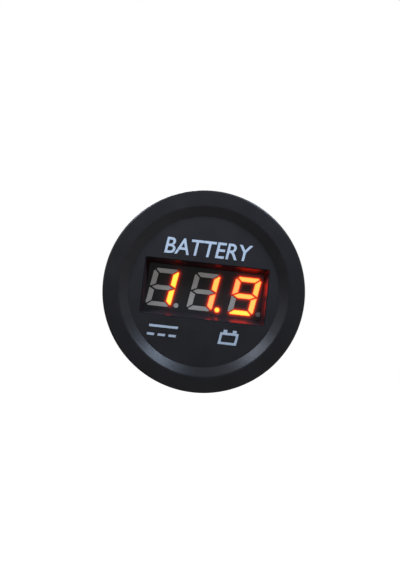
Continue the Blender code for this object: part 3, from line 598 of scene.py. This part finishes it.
def frontHousing():
    stations = windowStations()

    def windowLoop(atEnd, atTop):
        # The window's outline at its back, grown by one amount at its ends and another above and below
        half = rearHalf + Vector((atEnd[0], atTop[0]))
        shift = Vector(housing["windowShift"])
        corner = housing["windowCorner"]
        return [
            (
                shift.x + sx * (half.x - corner) + ax * corner,
                atEnd[1] * ax**2 + atTop[1] * az**2,
                shift.y + sz * (half.y - corner) + az * corner,
            )
            for sx, sz, ax, az in stations
        ]

    def wallProfile(flare):
        return roundCorners([
            (0.0, windowBack, 0.0),
            (flare, faceY, housing["windowEdge"]),
            (flare + housing["faceMargin"], faceY, 0.0),
        ])

    ends, tops = (wallProfile(flare) for flare in housing["windowFlare"])
    rows = [windowLoop(atEnd, atTop) for atEnd, atTop in zip(ends, tops)]
    turns = [math.atan2(z, x) for x, y, z in rows[-1]]
    wallRows = len(rows) - 2
    ring = roundCorners([
        (faceRadius - housing["faceRing"], faceY, 0.0),
        (faceRadius, faceY, housing["slopeFoot"]),
        (slopeRadius, rimY, housing["slopeTop"]),
        (flangeRadius, rimY, housing["edgeRound"]),
        (flangeRadius, 0.0, housing["backRound"]),
        (boreRadius, 0.0, 0.0),
    ])
    faceRows = len(rows) + 1
    rows += [[(r * math.cos(t), y, r * math.sin(t)) for t in turns] for r, y in ring]
    rim = (housing["innerWall"], windowBack)
    rows.append(windowLoop(rim, rim))
    around = len(stations)
    points = [p for row in rows for p in row]
    faces = []
    for i in range(len(rows)):
        upper = i * around
        lower = (i + 1) % len(rows) * around
        for k in range(around):
            after = (k + 1) % around
            faces.append((upper + k, upper + after, lower + after, lower + k))
    mesh = meshFrom("frontHousing", points, faces=faces)
    for index, polygon in enumerate(mesh.polygons):
        row = index // around
        polygon.material_index = 1 if row < wallRows else 2 if row < faceRows else 0
    finishes = (caseBlack, windowBlack, faceBlack)
    piece = settled(newObject("frontHousing", mesh, *finishes), angle=housing["sharpFrom"])
    hold(evenShaded(piece), "housing", "black_plastic", "front_housing")


def hookBlock(name, ends, room=0.0):
    # Block of a snap hook between two places across, or of its slot with some room
    halfWidth = rearCap["hookWidth"] / 2 + room
    low = (min(ends), rearCap["hookStart"] - room, -halfWidth)
    high = (max(ends), rearCap["hookStart"] + rearCap["hookHeight"] + room, halfWidth)
    return roundedBlock(name, low, high)


def threadedBarrel():
    top = barrel["root"]
    bottom = barrelEnd - barrel["endRoom"]
    rows = round((bottom - top) / barrel["rowGap"])
    outer = [(barrelRadius, top + i * (bottom - top) / rows) for i in range(rows + 1)]
    end = roundCorners([
        (barrelRadius, bottom, 0.0),
        (barrelRadius, barrelEnd, barrel["endRound"]),
        (boreRadius, barrelEnd, 0.0),
    ])[1:]
    steps = barrel["boreRows"]
    inner = [(boreRadius, barrelEnd + (top - barrelEnd) * i / steps) for i in range(1, steps + 1)]
    profile = outer + end + inner
    thread = []
    flat = []
    for radius, y in profile:
        outside = radius > boreRadius + barrel["wall"] / 2
        ramp = clamped((y - barrel["threadStart"]) / barrel["threadFade"])
        thread.append(ramp if outside else 0.0)
        flat.append(1.0 if outside and y >= barrel["flatStart"] else 0.0)
    piece = turnedPiece(
        "threadedBarrel",
        profile,
        caseBlack,
        steps=barrel["aroundSteps"],
        weights={"threadWeight": thread, "flatWeight": flat},
        **{"Thread Depth": barrel["threadDepth"] * mm, "Flat Distance": flatX * mm},
    )
    room = rearCap["slotRoom"]
    past = rearCap["cutPast"]
    for side in (-1, 1):
        ends = (side * (boreRadius - past), side * (barrelRadius + past))
        slot = hookBlock(f"snapSlot{side}", ends, room)
        piece = joinedBy(piece, slot, "DIFFERENCE")
    hold(settled(painted(piece, caseBlack)), "housing", "black_plastic", "front_housing")


# Posts behind the face, which pass through the board and are staked over behind it

post = {
    "across": 12.0,  # spacing
    "up": 13.6,
    "radius": 1.3,
    "stakeRadius": 0.6,
    "headRadius": 1.1,
    "headHeight": 0.5,
    "seat": 0.2,  # room before and behind the board
    "root": -0.5,  # starts inside the moulding
    "aroundSteps": 24,
}


def fourPlacesTree():
    tree, given = startTree("fourPlaces", "Across", "Up")
    sizes = {"Size X": given["Across"], "Size Y": given["Up"], "Vertices X": 2, "Vertices Y": 2}
    flat = addNode(tree, "GeometryNodeMeshGrid", sizes).outputs[0]
    upright = {"Geometry": flat, "Rotation": (quarterTurn, 0.0, 0.0)}
    places = addNode(tree, "GeometryNodeTransform", upright).outputs[0]
    sockets = {"Points": places, "Instance": given["Geometry"]}
    copies = addNode(tree, "GeometryNodeInstanceOnPoints", sockets).outputs[0]
    return endTree(tree, copies, given["Finish"])


def boardPosts():
    front = boardLow.y - post["seat"]
    back = boardHigh.y + post["seat"]
    profile = [
        (0.0, post["root"]),
        (post["radius"], post["root"]),
        (post["radius"], front),
        (post["stakeRadius"], front),
        (post["stakeRadius"], back),
        (post["headRadius"], back),
        (post["stakeRadius"], back + post["headHeight"]),
        (0.0, back + post["headHeight"]),
    ]
    piece = turnedPiece("boardPosts", profile, caseBlack, closed=False, steps=post["aroundSteps"])
    values = {"Across": post["across"] * mm, "Up": post["up"] * mm, "Finish": caseBlack}
    useTree(piece, fourPlacesTree(), values)
    hold(settled(madePlain(piece)), "housing", "black_plastic", "front_housing")


# Panel washer and ring nut

washer = {"width": 3.0, "edge": 0.12, "edgeSteps": 3, "aroundSteps": 180}
nut = {
    "wall": 2.5,
    "lipHeight": 2.0,
    "lipEdge": 0.2,
    "edge": 0.5,
    "edgeSteps": 4,
    "foot": 0.25,
    "gripCount": 20,
    "gripDepth": 0.9,
    "gripShare": 0.62,
    "gripFade": 0.1,
    "rowGap": 0.125,
    "aroundSteps": 360,
}


def panelWasher():
    outer = ringHole + washer["width"]
    edge = washer["edge"]
    middle = (washerLow.y + washerHigh.y) / 2
    profile = roundCorners([
        (ringHole, middle, 0.0),
        (ringHole, washerLow.y, edge),
        (outer, washerLow.y, edge),
        (outer, washerHigh.y, edge),
        (ringHole, washerHigh.y, edge),
        (ringHole, middle, 0.0),
    ], steps=washer["edgeSteps"])[:-1]
    flat = [1.0 if radius < ringHole + edge + hair else 0.0 for radius, y in profile]
    piece = turnedPiece(
        "panelWasher",
        profile,
        washerBlack,
        steps=washer["aroundSteps"],
        weights={"flatWeight": flat},
        **{"Flat Distance": (flatX + barrel["runFit"]) * mm},
    )
    hold(piece, "washer", "washer_plastic", "panel_washer")


def ringNut():
    lip = nutHigh.x
    body = ringHole + nut["wall"]
    front, back = nutLow.y, nutHigh.y
    edge = nut["edge"]
    outside = roundCorners([
        (ringHole + edge, front, 0.0),
        (lip, front, edge / 2),
        (lip, front + nut["lipHeight"], nut["lipEdge"]),
        (body, front + nut["lipHeight"], nut["foot"]),
        (body, back, edge),
        (ringHole + edge, back, 0.0),
    ], steps=nut["edgeSteps"])
    length = back - front - 2 * edge
    rows = round(length / nut["rowGap"])
    bore = [(ringHole, back - edge - length * i / rows) for i in range(rows + 1)]
    profile = outside + bore
    grip = []
    thread = []
    start = front + nut["lipHeight"] + nut["foot"] - nut["gripFade"]
    for radius, y in profile:
        fade = clamped((y - start) / nut["gripFade"])
        grip.append(fade if radius > body - edge - hair else 0.0)
        thread.append(1.0 if radius < ringHole + hair else 0.0)
    piece = turnedPiece(
        "ringNut",
        profile,
        nutBlack,
        steps=nut["aroundSteps"],
        weights={"gripWeight": grip, "threadWeight": thread},
        **{
            "Thread Depth": barrel["threadDepth"] * mm,
            "Grip Count": float(nut["gripCount"]),
            "Grip Depth": nut["gripDepth"] * mm,
            "Grip Share": nut["gripShare"],
        },
    )
    hold(piece, "nut", "nut_plastic", "mounting_nut")


# Rear cap, its snap hooks, the pad with the blade slots and the polarity signs

rearCap = {
    "seat": 0.2,  # room behind the barrel's end
    "lid": 2.0,
    "inset": 0.4,
    "edge": 0.6,
    "innerFoot": 0.3,
    "skirtFit": 0.15,
    "skirtWall": 1.2,
    "skirtFoot": 0.15,
    "skirtLead": (0.5, 0.6),  # lead-in at the skirt's end, across and along
    "padMargin": 1.6,
    "padRise": 1.2,
    "padRoot": 1.0,  # behind the lid's front
    "padCorner": 0.8,
    "padEdge": 0.3,
    "barrierHalf": 0.6,
    "barrierRoot": 0.9,
    "bladeFit": 0.12,
    "hookStart": 25.4,
    "hookHeight": 1.4,
    "hookWidth": 4.0,
    "hookReach": 0.7,
    "hookRoot": 0.6,
    "slotRoom": 0.15,
    "cutPast": 1.0,  # how far a cut runs out of the wall
    "signSize": 2.6,
    "signBar": 0.6,
    "signRise": 0.25,
    "signRoot": 0.3,
    "signCorner": 0.1,
    "signEdge": 0.08,
    "signAway": 9.9,
    "aroundSteps": 144,
}
blade = {
    "width": 6.3,
    "tip": 0.9,
    "edge": 0.14,
    "shoulder": 1.5,
    "tailHalf": 1.7,
    "holeRadius": 0.85,
    "holeFromTip": 4.1,
    "holeSteps": 40,
    "eyeRadius": 0.6,  # for the wire
    "eyeSteps": 24,
}


def rearCapPiece():
    lidFront = barrelEnd + rearCap["seat"]
    lidBack = lidFront + rearCap["lid"]
    padBack = lidBack + rearCap["padRise"]
    outer = barrelRadius - rearCap["inset"]
    skirt = boreRadius - rearCap["skirtFit"]
    inner = skirt - rearCap["skirtWall"]
    leadAcross, leadAlong = rearCap["skirtLead"]
    profile = roundCorners([
        (0.0, lidFront, 0.0),
        (inner, lidFront, rearCap["innerFoot"]),
        (inner, capLow.y, 0.0),
        (skirt - leadAcross, capLow.y, 0.0),
        (skirt, capLow.y + leadAlong, 0.0),
        (skirt, lidFront, rearCap["skirtFoot"]),
        (outer, lidFront, 0.0),
        (outer, lidBack, rearCap["edge"]),
        (0.0, lidBack, 0.0),
    ])
    piece = turnedPiece("rearCap", profile, caseBlack, closed=False, steps=rearCap["aroundSteps"])
    half = blade["width"] / 2 + rearCap["padMargin"]
    wide = bladeHigh.x + rearCap["padMargin"]
    edge = rearCap["padEdge"]
    low = (-wide, lidFront + rearCap["padRoot"], -half)
    pad = roundedBlock("pad", low, (wide, padBack, half), rearCap["padCorner"], edge)
    piece = joinedBy(piece, pad, "UNION")
    wall = rearCap["barrierHalf"]
    low = (-wall, lidFront + rearCap["barrierRoot"], -half)
    barrier = roundedBlock("barrier", low, (wall, capHigh.y, half), edge, edge)
    piece = joinedBy(piece, barrier, "UNION")
    fit = rearCap["bladeFit"]
    past = rearCap["cutPast"]
    size, thick = rearCap["signSize"], rearCap["signBar"]
    rounds = rearCap["signCorner"], rearCap["signEdge"]
    for side in (-1, 1):
        ends = (side * (skirt - rearCap["hookRoot"]), side * (skirt + rearCap["hookReach"]))
        piece = joinedBy(piece, hookBlock(f"hook{side}", ends), "UNION")
        faces = sorted((side * bladeLow.x, side * bladeHigh.x))
        low = (faces[0] - fit, lidFront - past, -blade["width"] / 2 - fit)
        high = (faces[1] + fit, padBack + past, blade["width"] / 2 + fit)
        piece = joinedBy(piece, roundedBlock(f"bladeSlot{side}", low, high), "DIFFERENCE")
        bars = [(size, thick), (thick, size)] if side > 0 else [(size, thick)]
        centre = side * rearCap["signAway"]
        for number, (across, up) in enumerate(bars):
            low = (centre - across / 2, lidBack - rearCap["signRoot"], -up / 2)
            high = (centre + across / 2, lidBack + rearCap["signRise"], up / 2)
            sign = roundedBlock(f"sign{side}{number}", low, high, *rounds)
            piece = joinedBy(piece, sign, "UNION")
    hold(evenShaded(settled(painted(piece, caseBlack))), "housing", "black_plastic", "rear_cap")


def flatOutline(name, loops, depth, bevel=0.0):
    # Filled outline in x and y, depth mm thick about z = 0
    curve = bpy.data.curves.new(name, "CURVE")
    curve.dimensions = "2D"
    curve.fill_mode = "BOTH"
    curve.extrude = (depth / 2 - bevel) * mm
    curve.bevel_depth = bevel * mm
    curve.bevel_resolution = 2
    curve.offset = -bevel * mm
    for loop in loops:
        spline = curve.splines.new("POLY")
        spline.points.add(len(loop) - 1)
        for point, (x, y) in zip(spline.points, loop):
            point.co = (x * mm, y * mm, 0.0, 1.0)
        spline.use_cyclic_u = True
    return madePlain(newObject(name, curve))


def circleLoop(radius, steps, centre):
    turns = [2 * math.pi * i / steps for i in range(steps)]
    return [(centre[0] + radius * math.cos(t), centre[1] + radius * math.sin(t)) for t in turns]


def bladeTerminal(name, node):
    low, high = millimetres(node)
    half = blade["width"] / 2
    shoulder = high.z
    tail = blade["tailHalf"]
    root = barrelEnd
    neck = root - blade["shoulder"]
    right = [
        (half - blade["tip"], high.y),
        (half, high.y - blade["tip"]),
        (half, root),
        (shoulder, root),
        (shoulder, neck),
        (tail, neck),
        (tail, low.y),
    ]
    outline = [(-x, y) for x, y in right] + right[::-1]
    hole = circleLoop(blade["holeRadius"], blade["holeSteps"], (0.0, high.y - blade["holeFromTip"]))
    eye = circleLoop(blade["eyeRadius"], blade["eyeSteps"], (0.0, low.y + tail))
    piece = flatOutline(name, [outline, hole, eye], high.x - low.x, blade["edge"])
    quarterTurned(piece, "Y", ((low.x + high.x) / 2, 0.0, 0.0))
    hold(settled(painted(piece, platedBrass)), "housing", "nickel", node)


# Display: black case with its bars set in it

display = {
    "reading": ("1", "1.", "9"),
    "litBars": {"1": "bc", "9": "abcdfg"},
    "digitWidth": 4.66,
    "digitHeight": 7.0,
    "slant": 9.0,
    "margin": 1.29,  # room beside the first and the last digit
    "bar": 0.94,
    "crossBar": 0.8,
    "gap": 0.3,
    "cornerCut": 0.58,
    "middleInset": 0.4,
    "tipSlope": 0.5,
    "pointRadius": 0.44,
    "pointGap": 0.57,
    "pointSteps": 32,
    "barDepth": 2.4,
    "fit": 0.02,
    "socketPast": (0.3, 0.1),  # how far the sockets' cut runs out before and behind the bars
    "gridStep": 0.14,
    "bleedReach": 0.165,
    "bleedFar": 0.007,  # share of the painted glow that reaches about a millimetre
    "bleedLimit": 3.0,
    "fineCuts": 7,
    "yellowBars": ("digit1BarB", "digit1BarC", "digit2Point", "digit3BarD"),
    "roseBars": ("digit2BarC", "digit3BarF"),
    # painted shade: the window's end wall shades this point
    "shadedBars": ("digit3Point",),
}


def digitBars():
    # Outlines of one upright digit about its centre
    w = display["digitWidth"] / 2
    h = display["digitHeight"] / 2
    t = display["bar"]
    cross = display["crossBar"]
    gap = display["gap"] / math.sqrt(2)
    cut = display["cornerCut"]
    slope = display["tipSlope"]
    inset = display["middleInset"]
    near = (cut - gap) / 2
    far = (cut + gap) / 2
    rise = display["gap"] * math.hypot(1, slope)
    inner = slope * (t - inset) + rise
    outer = max(rise - slope * inset, display["gap"] / 2)
    tip = cross / 2 / slope
    top = [(w - cut, h), (-w + cut, h), (-w + far, h - near), (-w + t + gap, h - cross)]
    top += [(w - t - gap, h - cross), (w - far, h - near)]
    side = [(-w, h - cut), (-w, outer), (-w + t, inner), (-w + t, h - cross - gap), (-w + near, h - far)]
    middle = [(-w + inset, 0.0), (-w + inset + tip, -cross / 2), (w - inset - tip, -cross / 2)]
    middle += [(w - inset, 0.0), (w - inset - tip, cross / 2), (-w + inset + tip, cross / 2)]

    def mirrored(points, across, up):
        flipped = [(x * across, y * up) for x, y in points]
        return flipped[::-1] if across * up < 0 else flipped

    return {
        "a": top,
        "b": mirrored(side, -1, 1),
        "c": mirrored(side, -1, -1),
        "d": mirrored(top, 1, -1),
        "e": mirrored(side, 1, -1),
        "f": side,
        "g": middle,
    }


def barOutlines():
    # Name, node, outline and state of every bar and point
    lean = math.tan(math.radians(display["slant"]))
    room = 2 * (displayHigh.x - display["margin"]) - display["digitWidth"]
    pitch = room / (len(display["reading"]) - 1)
    radius = display["pointRadius"]
    pointUp = -display["digitHeight"] / 2 + radius
    pointAcross = display["digitWidth"] / 2 + display["pointGap"] + radius + lean * pointUp
    bars = []
    for index, symbol in enumerate(display["reading"]):
        centre = (index - (len(display["reading"]) - 1) / 2) * pitch
        for letter, outline in digitBars().items():
            loop = [(centre + x + lean * y, y) for x, y in outline]
            lit = letter in display["litBars"][symbol[0]]
            name = f"digit{index + 1}Bar{letter.upper()}"
            bars.append((name, f"digit_{index + 1}_segment_{letter}", loop, lit))
        loop = circleLoop(radius, display["pointSteps"], (centre + pointAcross, pointUp))
        lit = symbol.endswith(".")
        bars.append((f"digit{index + 1}Point", f"digit_{index + 1}_point", loop, lit))
    return bars


def edgeDistance(x, z, loop):
    # Distance from a point to an outline, and whether the point is inside it
    best = 1e9
    inside = False
    for i, (ax, az) in enumerate(loop):
        bx, bz = loop[(i + 1) % len(loop)]
        dx, dz = bx - ax, bz - az
        share = clamped(((x - ax) * dx + (z - az) * dz) / (dx * dx + dz * dz))
        best = min(best, math.hypot(x - ax - share * dx, z - az - share * dz))
        if (az > z) != (bz > z) and x < ax + (z - az) / (bz - az) * dx:
            inside = not inside
    return best, inside


def grown(loop, distance):
    # Convex outline moved outwards on every side
    turn = sum(a[0] * b[1] - b[0] * a[1] for a, b in zip(loop, loop[1:] + loop[:1]))
    points = loop if turn > 0 else loop[::-1]
    moved = []
    count = len(points)
    for i in range(count):
        before, here, after = (Vector(points[(i + k) % count]) for k in (-1, 0, 1))
        first = (here - before).normalized()
        second = (after - here).normalized()
        outward = Vector((first.y, -first.x)) + Vector((second.y, -second.x))
        moved.append(tuple(here + outward * distance / (1 + first.dot(second))))
    return moved


def barPiece(name, loop, front, back):
    # Solid bar whose front is finely divided, with the distance from its edge stored
    shape = bmesh.new()
    corners = [shape.verts.new((x * mm, front * mm, z * mm)) for x, z in loop]
    face = shape.faces.new(corners)
    for item in bmesh.ops.extrude_face_region(shape, geom=[face])["geom"]:
        if isinstance(item, bmesh.types.BMVert):
            item.co.y = back * mm
    fronts = [f for f in shape.faces if all(abs(v.co.y - front * mm) < weld for v in f.verts)]
    split = bmesh.ops.triangulate(shape, faces=fronts)
    edges = {e for f in split["faces"] for e in f.edges}
    bmesh.ops.subdivide_edges(shape, edges=list(edges), cuts=display["fineCuts"], use_grid_fill=True)
    bmesh.ops.recalc_face_normals(shape, faces=shape.faces)
    mesh = bpy.data.meshes.new(name)
    shape.to_mesh(mesh)
    shape.free()
    layer = mesh.attributes.new("core", "FLOAT", "POINT")
    half = display["bar"] / 2
    for vert in mesh.vertices:
        if vert.co.y < (front + hair) * mm:
            distance = edgeDistance(vert.co.x / mm, vert.co.z / mm, loop)[0]
            layer.data[vert.index].value = min(1.0, distance / half)
    return newObject(name, mesh)


def paintedBleedAt(x, z, loops):
    # Painted glow at a place on the case's front, beside the lit bars
    near = 0.0
    far = 0.0
    for loop in loops:
        left = min(p[0] for p in loop)
        right = max(p[0] for p in loop)
        if max(left - x, x - right) > display["bleedLimit"]:
            continue
        distance, inside = edgeDistance(x, z, loop)
        away = 0.0 if inside else distance
        near = max(near, math.exp(-away / display["bleedReach"]))
        far += display["bleedFar"] * math.exp(-away)
    return min(1.0, near + far)


def displayPieces():
    bars = barOutlines()
    front = displayLow.y
    depth = display["barDepth"]
    case = roundedBlock("displayCase", tuple(displayLow), tuple(displayHigh))
    shape = bmesh.new()
    shape.from_mesh(case.data)
    for axis, half in ((Vector((1, 0, 0)), displayHigh.x), (Vector((0, 0, 1)), displayHigh.z)):
        count = round(2 * half / display["gridStep"])
        for i in range(1, count):
            spot = axis * (-half + 2 * half * i / count) * mm
            geometry = shape.verts[:] + shape.edges[:] + shape.faces[:]
            bmesh.ops.bisect_plane(shape, geom=geometry, plane_co=spot, plane_no=axis)
    shape.to_mesh(case.data)
    shape.free()
    ahead, behind = display["socketPast"]
    sockets = [grown(loop, display["fit"]) for name, node, loop, lit in bars]
    cutter = flatOutline("barSockets", sockets, depth + ahead + behind)
    quarterTurned(cutter, "X", (0.0, front + (depth + behind - ahead) / 2, 0.0))
    case = joinedBy(case, settled(cutter), "DIFFERENCE")
    litLoops = [loop for name, node, loop, lit in bars if lit]
    # The display's front gets a painted red glow beside the lit bars
    layer = case.data.attributes.new("paintedBleed", "FLOAT", "POINT")
    for vert in case.data.vertices:
        if vert.co.y <= (front + hair) * mm:
            layer.data[vert.index].value = paintedBleedAt(vert.co.x / mm, vert.co.z / mm, litLoops)
    painted(case, displayBlack).data.shade_flat()
    hold(case, "housing", "display_plastic", "display_case")
    for name, node, loop, lit in bars:
        piece = barPiece(name, loop, front, front + depth)
        finish = shadedGrey if name in display["shadedBars"] else milkyGrey
        if lit:
            finish = roseGlow if name in display["roseBars"] else orangeGlow
            finish = yellowGlow if name in display["yellowBars"] else finish
        painted(piece, finish).data.shade_flat()
        hold(piece, "housing", "lit_epoxy" if lit else "unlit_epoxy", node)


# Printed legend on the face

legend = {
    "word": "BATTERY",
    "wordBox": (-8.0, 8.1, 6.35, 9.3),  # left, right, low, high
    "lean": 0.15,
    "weight": 0.01,
    "rise": 0.02,
    "stroke": 0.44,
    "directBox": (-8.2, -2.9, -8.9, -6.9),
    "batteryBox": (4.9, 8.3, -9.2, -6.5),
    "postHeight": 0.5,
    "postHalf": 0.35,
    "postInset": 0.85,
}


def placeInk(piece):
    # Lays a legend drawn in x and y on the face
    quarterTurned(piece, "X", (0.0, faceY - legend["rise"] / 2, 0.0))
    settled(painted(piece, whiteInk))
    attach(piece, "housing")


def leaningBar(left, right, low, high):
    corners = ((left, low), (right, low), (right, high), (left, high))
    return [(x + legend["lean"] * y, y) for x, y in corners]


def faceLegend():
    text = bpy.data.curves.new("wordLegend", "FONT")
    text.body = legend["word"]
    text.shear = legend["lean"]
    text.offset = legend["weight"]
    text.extrude = 0.5  # one unit thick, until it gets its rise
    text.resolution_u = 6
    piece = madePlain(newObject("wordLegend", text))
    xs = [v.co.x for v in piece.data.vertices]
    ys = [v.co.y for v in piece.data.vertices]
    left, right, low, high = legend["wordBox"]
    scaleX = (right - left) / (max(xs) - min(xs)) * mm
    scaleY = (high - low) / (max(ys) - min(ys)) * mm
    for vert in piece.data.vertices:
        vert.co.x = left * mm + (vert.co.x - min(xs)) * scaleX
        vert.co.y = low * mm + (vert.co.y - min(ys)) * scaleY
        vert.co.z *= legend["rise"] * mm
    placeInk(piece)

    left, right, low, high = legend["directBox"]
    stroke = legend["stroke"]
    dash = (right - left) / 4
    gap = dash / 2
    loops = [leaningBar(left, right, high - stroke, high)]
    for i in range(3):
        start = left + i * (dash + gap)
        loops.append(leaningBar(start, start + dash, low, low + stroke))
    placeInk(flatOutline("directSign", loops, legend["rise"]))

    left, right, low, high = legend["batteryBox"]
    top = high - legend["postHeight"]
    loops = [leaningBar(left, right, low, top)]
    loops.append(leaningBar(left + stroke, right - stroke, low + stroke, top - stroke))
    placeInk(flatOutline("cellSign", loops, legend["rise"]))
    half = legend["postHalf"]
    for number, centre in enumerate((left + legend["postInset"], right - legend["postInset"])):
        loops = [leaningBar(centre - half, centre + half, top, high)]
        placeInk(flatOutline(f"cellPost{number + 1}", loops, legend["rise"]))


frontHousing()
print("front housing made")
threadedBarrel()
boardPosts()
print("barrel and posts made")
panelWasher()
ringNut()
print("washer and nut made")
rearCapPiece()
bladeTerminal("bladePositive", "terminal_positive")
bladeTerminal("bladeNegative", "terminal_negative")
print("rear cap and blades made")
displayPieces()
print("display made")
faceLegend()
print("legend made")

# Finishes of the pieces inside

innerFinish = {
    "display_base": castEpoxy,
    "main_board": greenMask,
    "microcontroller": chipBlack,
    "voltage_regulator": chipBlack,
    "polarity_diode": chipBlack,
    "filter_capacitor": canAluminium,
    "ceramic_capacitor": firedTan,
    "trimmer_body": trimmerBlue,
    "trimmer_rotor": rotorWhite,
    "lead_positive": sleeveRed,
    "lead_negative": sleeveBlack,
}
innerFinish.update({f"chip_resistor_{n}": firedTan for n in (1, 2, 3, 4)})
for node, finish in innerFinish.items():
    painted(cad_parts[node], finish)
print("inner pieces finished")

# Stage, light and camera

stage = {
    "floorHeight": -110.0,
    "floorHalf": 3000.0,
    "floorColour": (0.82, 0.82, 0.83),
    "floorRoughness": 0.8,
    "floorGlow": 0.95,
    "floorShine": (0.0, 0.6),  # what a glossy surface mirrors of the floor, from its left to its right
    "shineReach": 80.0,
    "fill": (0.0, 0.13),  # soft light of the room, away from and along its direction
    "fillFrom": (0.62, -0.55, -0.56),
    "fillSpan": (-0.6, 1.0),
    "frontShine": 0.25,  # what a glossy surface mirrors of the room in front of the face
    "frontSpan": (-0.5, 0.5),  # from the front to the back
    "sideShine": 1.5,  # and of the white walls to the left and right
    "sideSpan": (0.7, 0.95),  # where they begin and are full
    "lamps": (
        # direction from the face, distance, size, watts, colour
        ((0.46, -0.42, 0.78), 76.0, 22.0, 0.0655, (0.68, 0.84, 1.09)),
        ((-0.64, -0.42, 0.64), 76.0, 22.0, 0.064, (0.73, 0.84, 1.02)),
        ((-0.3, 0.85, 0.6), 320.0, 160.0, 0.9, (1.0, 1.0, 1.0)),
    ),
}
camera = {
    "below": 0.9,
    "left": 0.9,
    "roll": 6.3,
    "distance": 300.0,
    "frameWidth": 72.95,
    "aim": (0.0, -3.65, 0.0),
    "slideRight": -0.7,
    "slideUp": 1.21,
    "sensor": 36.0,
    "clipStart": 10.0,
}


def makeFloor():
    half = stage["floorHalf"]
    height = stage["floorHeight"]
    corners = [(-half, -half, height), (half, -half, height), (half, half, height), (-half, half, height)]
    floor = newObject("floor", meshFrom("floor", corners, faces=[(0, 1, 2, 3)]))
    pale, tree, shader, place = newMaterial("paleFloor")
    seen = addNode(tree, "ShaderNodeLightPath").outputs
    glow = maths(tree, "MULTIPLY", seen["Is Camera Ray"], stage["floorGlow"])
    across = addNode(tree, "ShaderNodeSeparateXYZ", {0: place}).outputs["X"]
    reach = stage["shineReach"] * mm
    shine = spread(tree, across, *stage["floorShine"], -reach, reach)
    setSockets(tree, shader, {
        "Base Color": (*stage["floorColour"], 1.0),
        "Roughness": stage["floorRoughness"],
        "Emission Color": (1.0, 1.0, 1.0, 1.0),
        "Emission Strength": maths(tree, "MULTIPLY_ADD", seen["Is Glossy Ray"], shine, glow),
    })
    floor.data.materials.append(pale)


def makeRoom():
    world = bpy.data.worlds.new("studio")
    world.use_nodes = True
    bpy.context.scene.world = world
    tree = world.node_tree
    seen = addNode(tree, "ShaderNodeLightPath").outputs
    toward = addNode(tree, "ShaderNodeTexCoord").outputs["Generated"]
    axes = addNode(tree, "ShaderNodeSeparateXYZ", {0: toward}).outputs
    front = spread(tree, axes["Y"], stage["frontShine"], 1.0, *stage["frontSpan"])
    sideways = maths(tree, "ABSOLUTE", axes["X"])
    sides = spread(tree, sideways, 0.0, stage["sideShine"], *stage["sideSpan"])
    mirrored = maths(tree, "MAXIMUM", front, sides)
    sockets = {0: toward, 1: stage["fillFrom"]}
    along = addNode(tree, "ShaderNodeVectorMath", sockets, operation="DOT_PRODUCT").outputs["Value"]
    soft = spread(tree, along, *stage["fill"], *stage["fillSpan"])
    shiny = maths(tree, "MAXIMUM", seen["Is Glossy Ray"], seen["Is Transmission Ray"])
    level = addNode(tree, "ShaderNodeMix", {"Factor": shiny, "A": soft, "B": mirrored}).outputs["Result"]
    setSockets(tree, tree.nodes["Background"], {
        "Color": (1.0, 1.0, 1.0, 1.0),
        "Strength": maths(tree, "MAXIMUM", level, seen["Is Camera Ray"]),
    })


def makeLamps():
    for number, (direction, distance, size, watts, colour) in enumerate(stage["lamps"]):
        lamp = bpy.data.lights.new(f"lamp{number + 1}", "AREA")
        lamp.shape = "DISK"
        lamp.size = size * mm
        lamp.energy = watts
        lamp.color = colour
        made = newObject(f"lamp{number + 1}", lamp)
        away = Vector(direction).normalized()
        made.location = away * distance * mm
        made.rotation_euler = away.to_track_quat("Z", "Y").to_euler()
        made.visible_camera = False


def makeCamera():
    lens = bpy.data.cameras.new("camera")
    lens.sensor_fit = "HORIZONTAL"
    lens.sensor_width = camera["sensor"]
    lens.lens = camera["sensor"] * camera["distance"] / camera["frameWidth"]
    lens.clip_start = camera["clipStart"] * mm
    made = newObject("camera", lens)
    left = math.radians(camera["left"])
    below = math.radians(camera["below"])
    away = Vector((-math.sin(left) * math.cos(below), -math.cos(left) * math.cos(below), -math.sin(below)))
    right = Vector((0.0, 0.0, 1.0)).cross(away).normalized()
    up = away.cross(right)
    roll = math.radians(camera["roll"])
    rolledRight = right * math.cos(roll) + up * math.sin(roll)
    rolledUp = up * math.cos(roll) - right * math.sin(roll)
    place = Vector(camera["aim"]) + away * camera["distance"]
    place += rolledRight * camera["slideRight"] + rolledUp * camera["slideUp"]
    turn = Matrix((rolledRight, rolledUp, away)).transposed()
    made.matrix_world = Matrix.Translation(place * mm) @ turn.to_4x4()
    bpy.context.scene.camera = made


makeFloor()
makeRoom()
makeLamps()
makeCamera()
bpy.context.scene.view_settings.view_transform = "Standard"
print("stage, lamps and camera made")
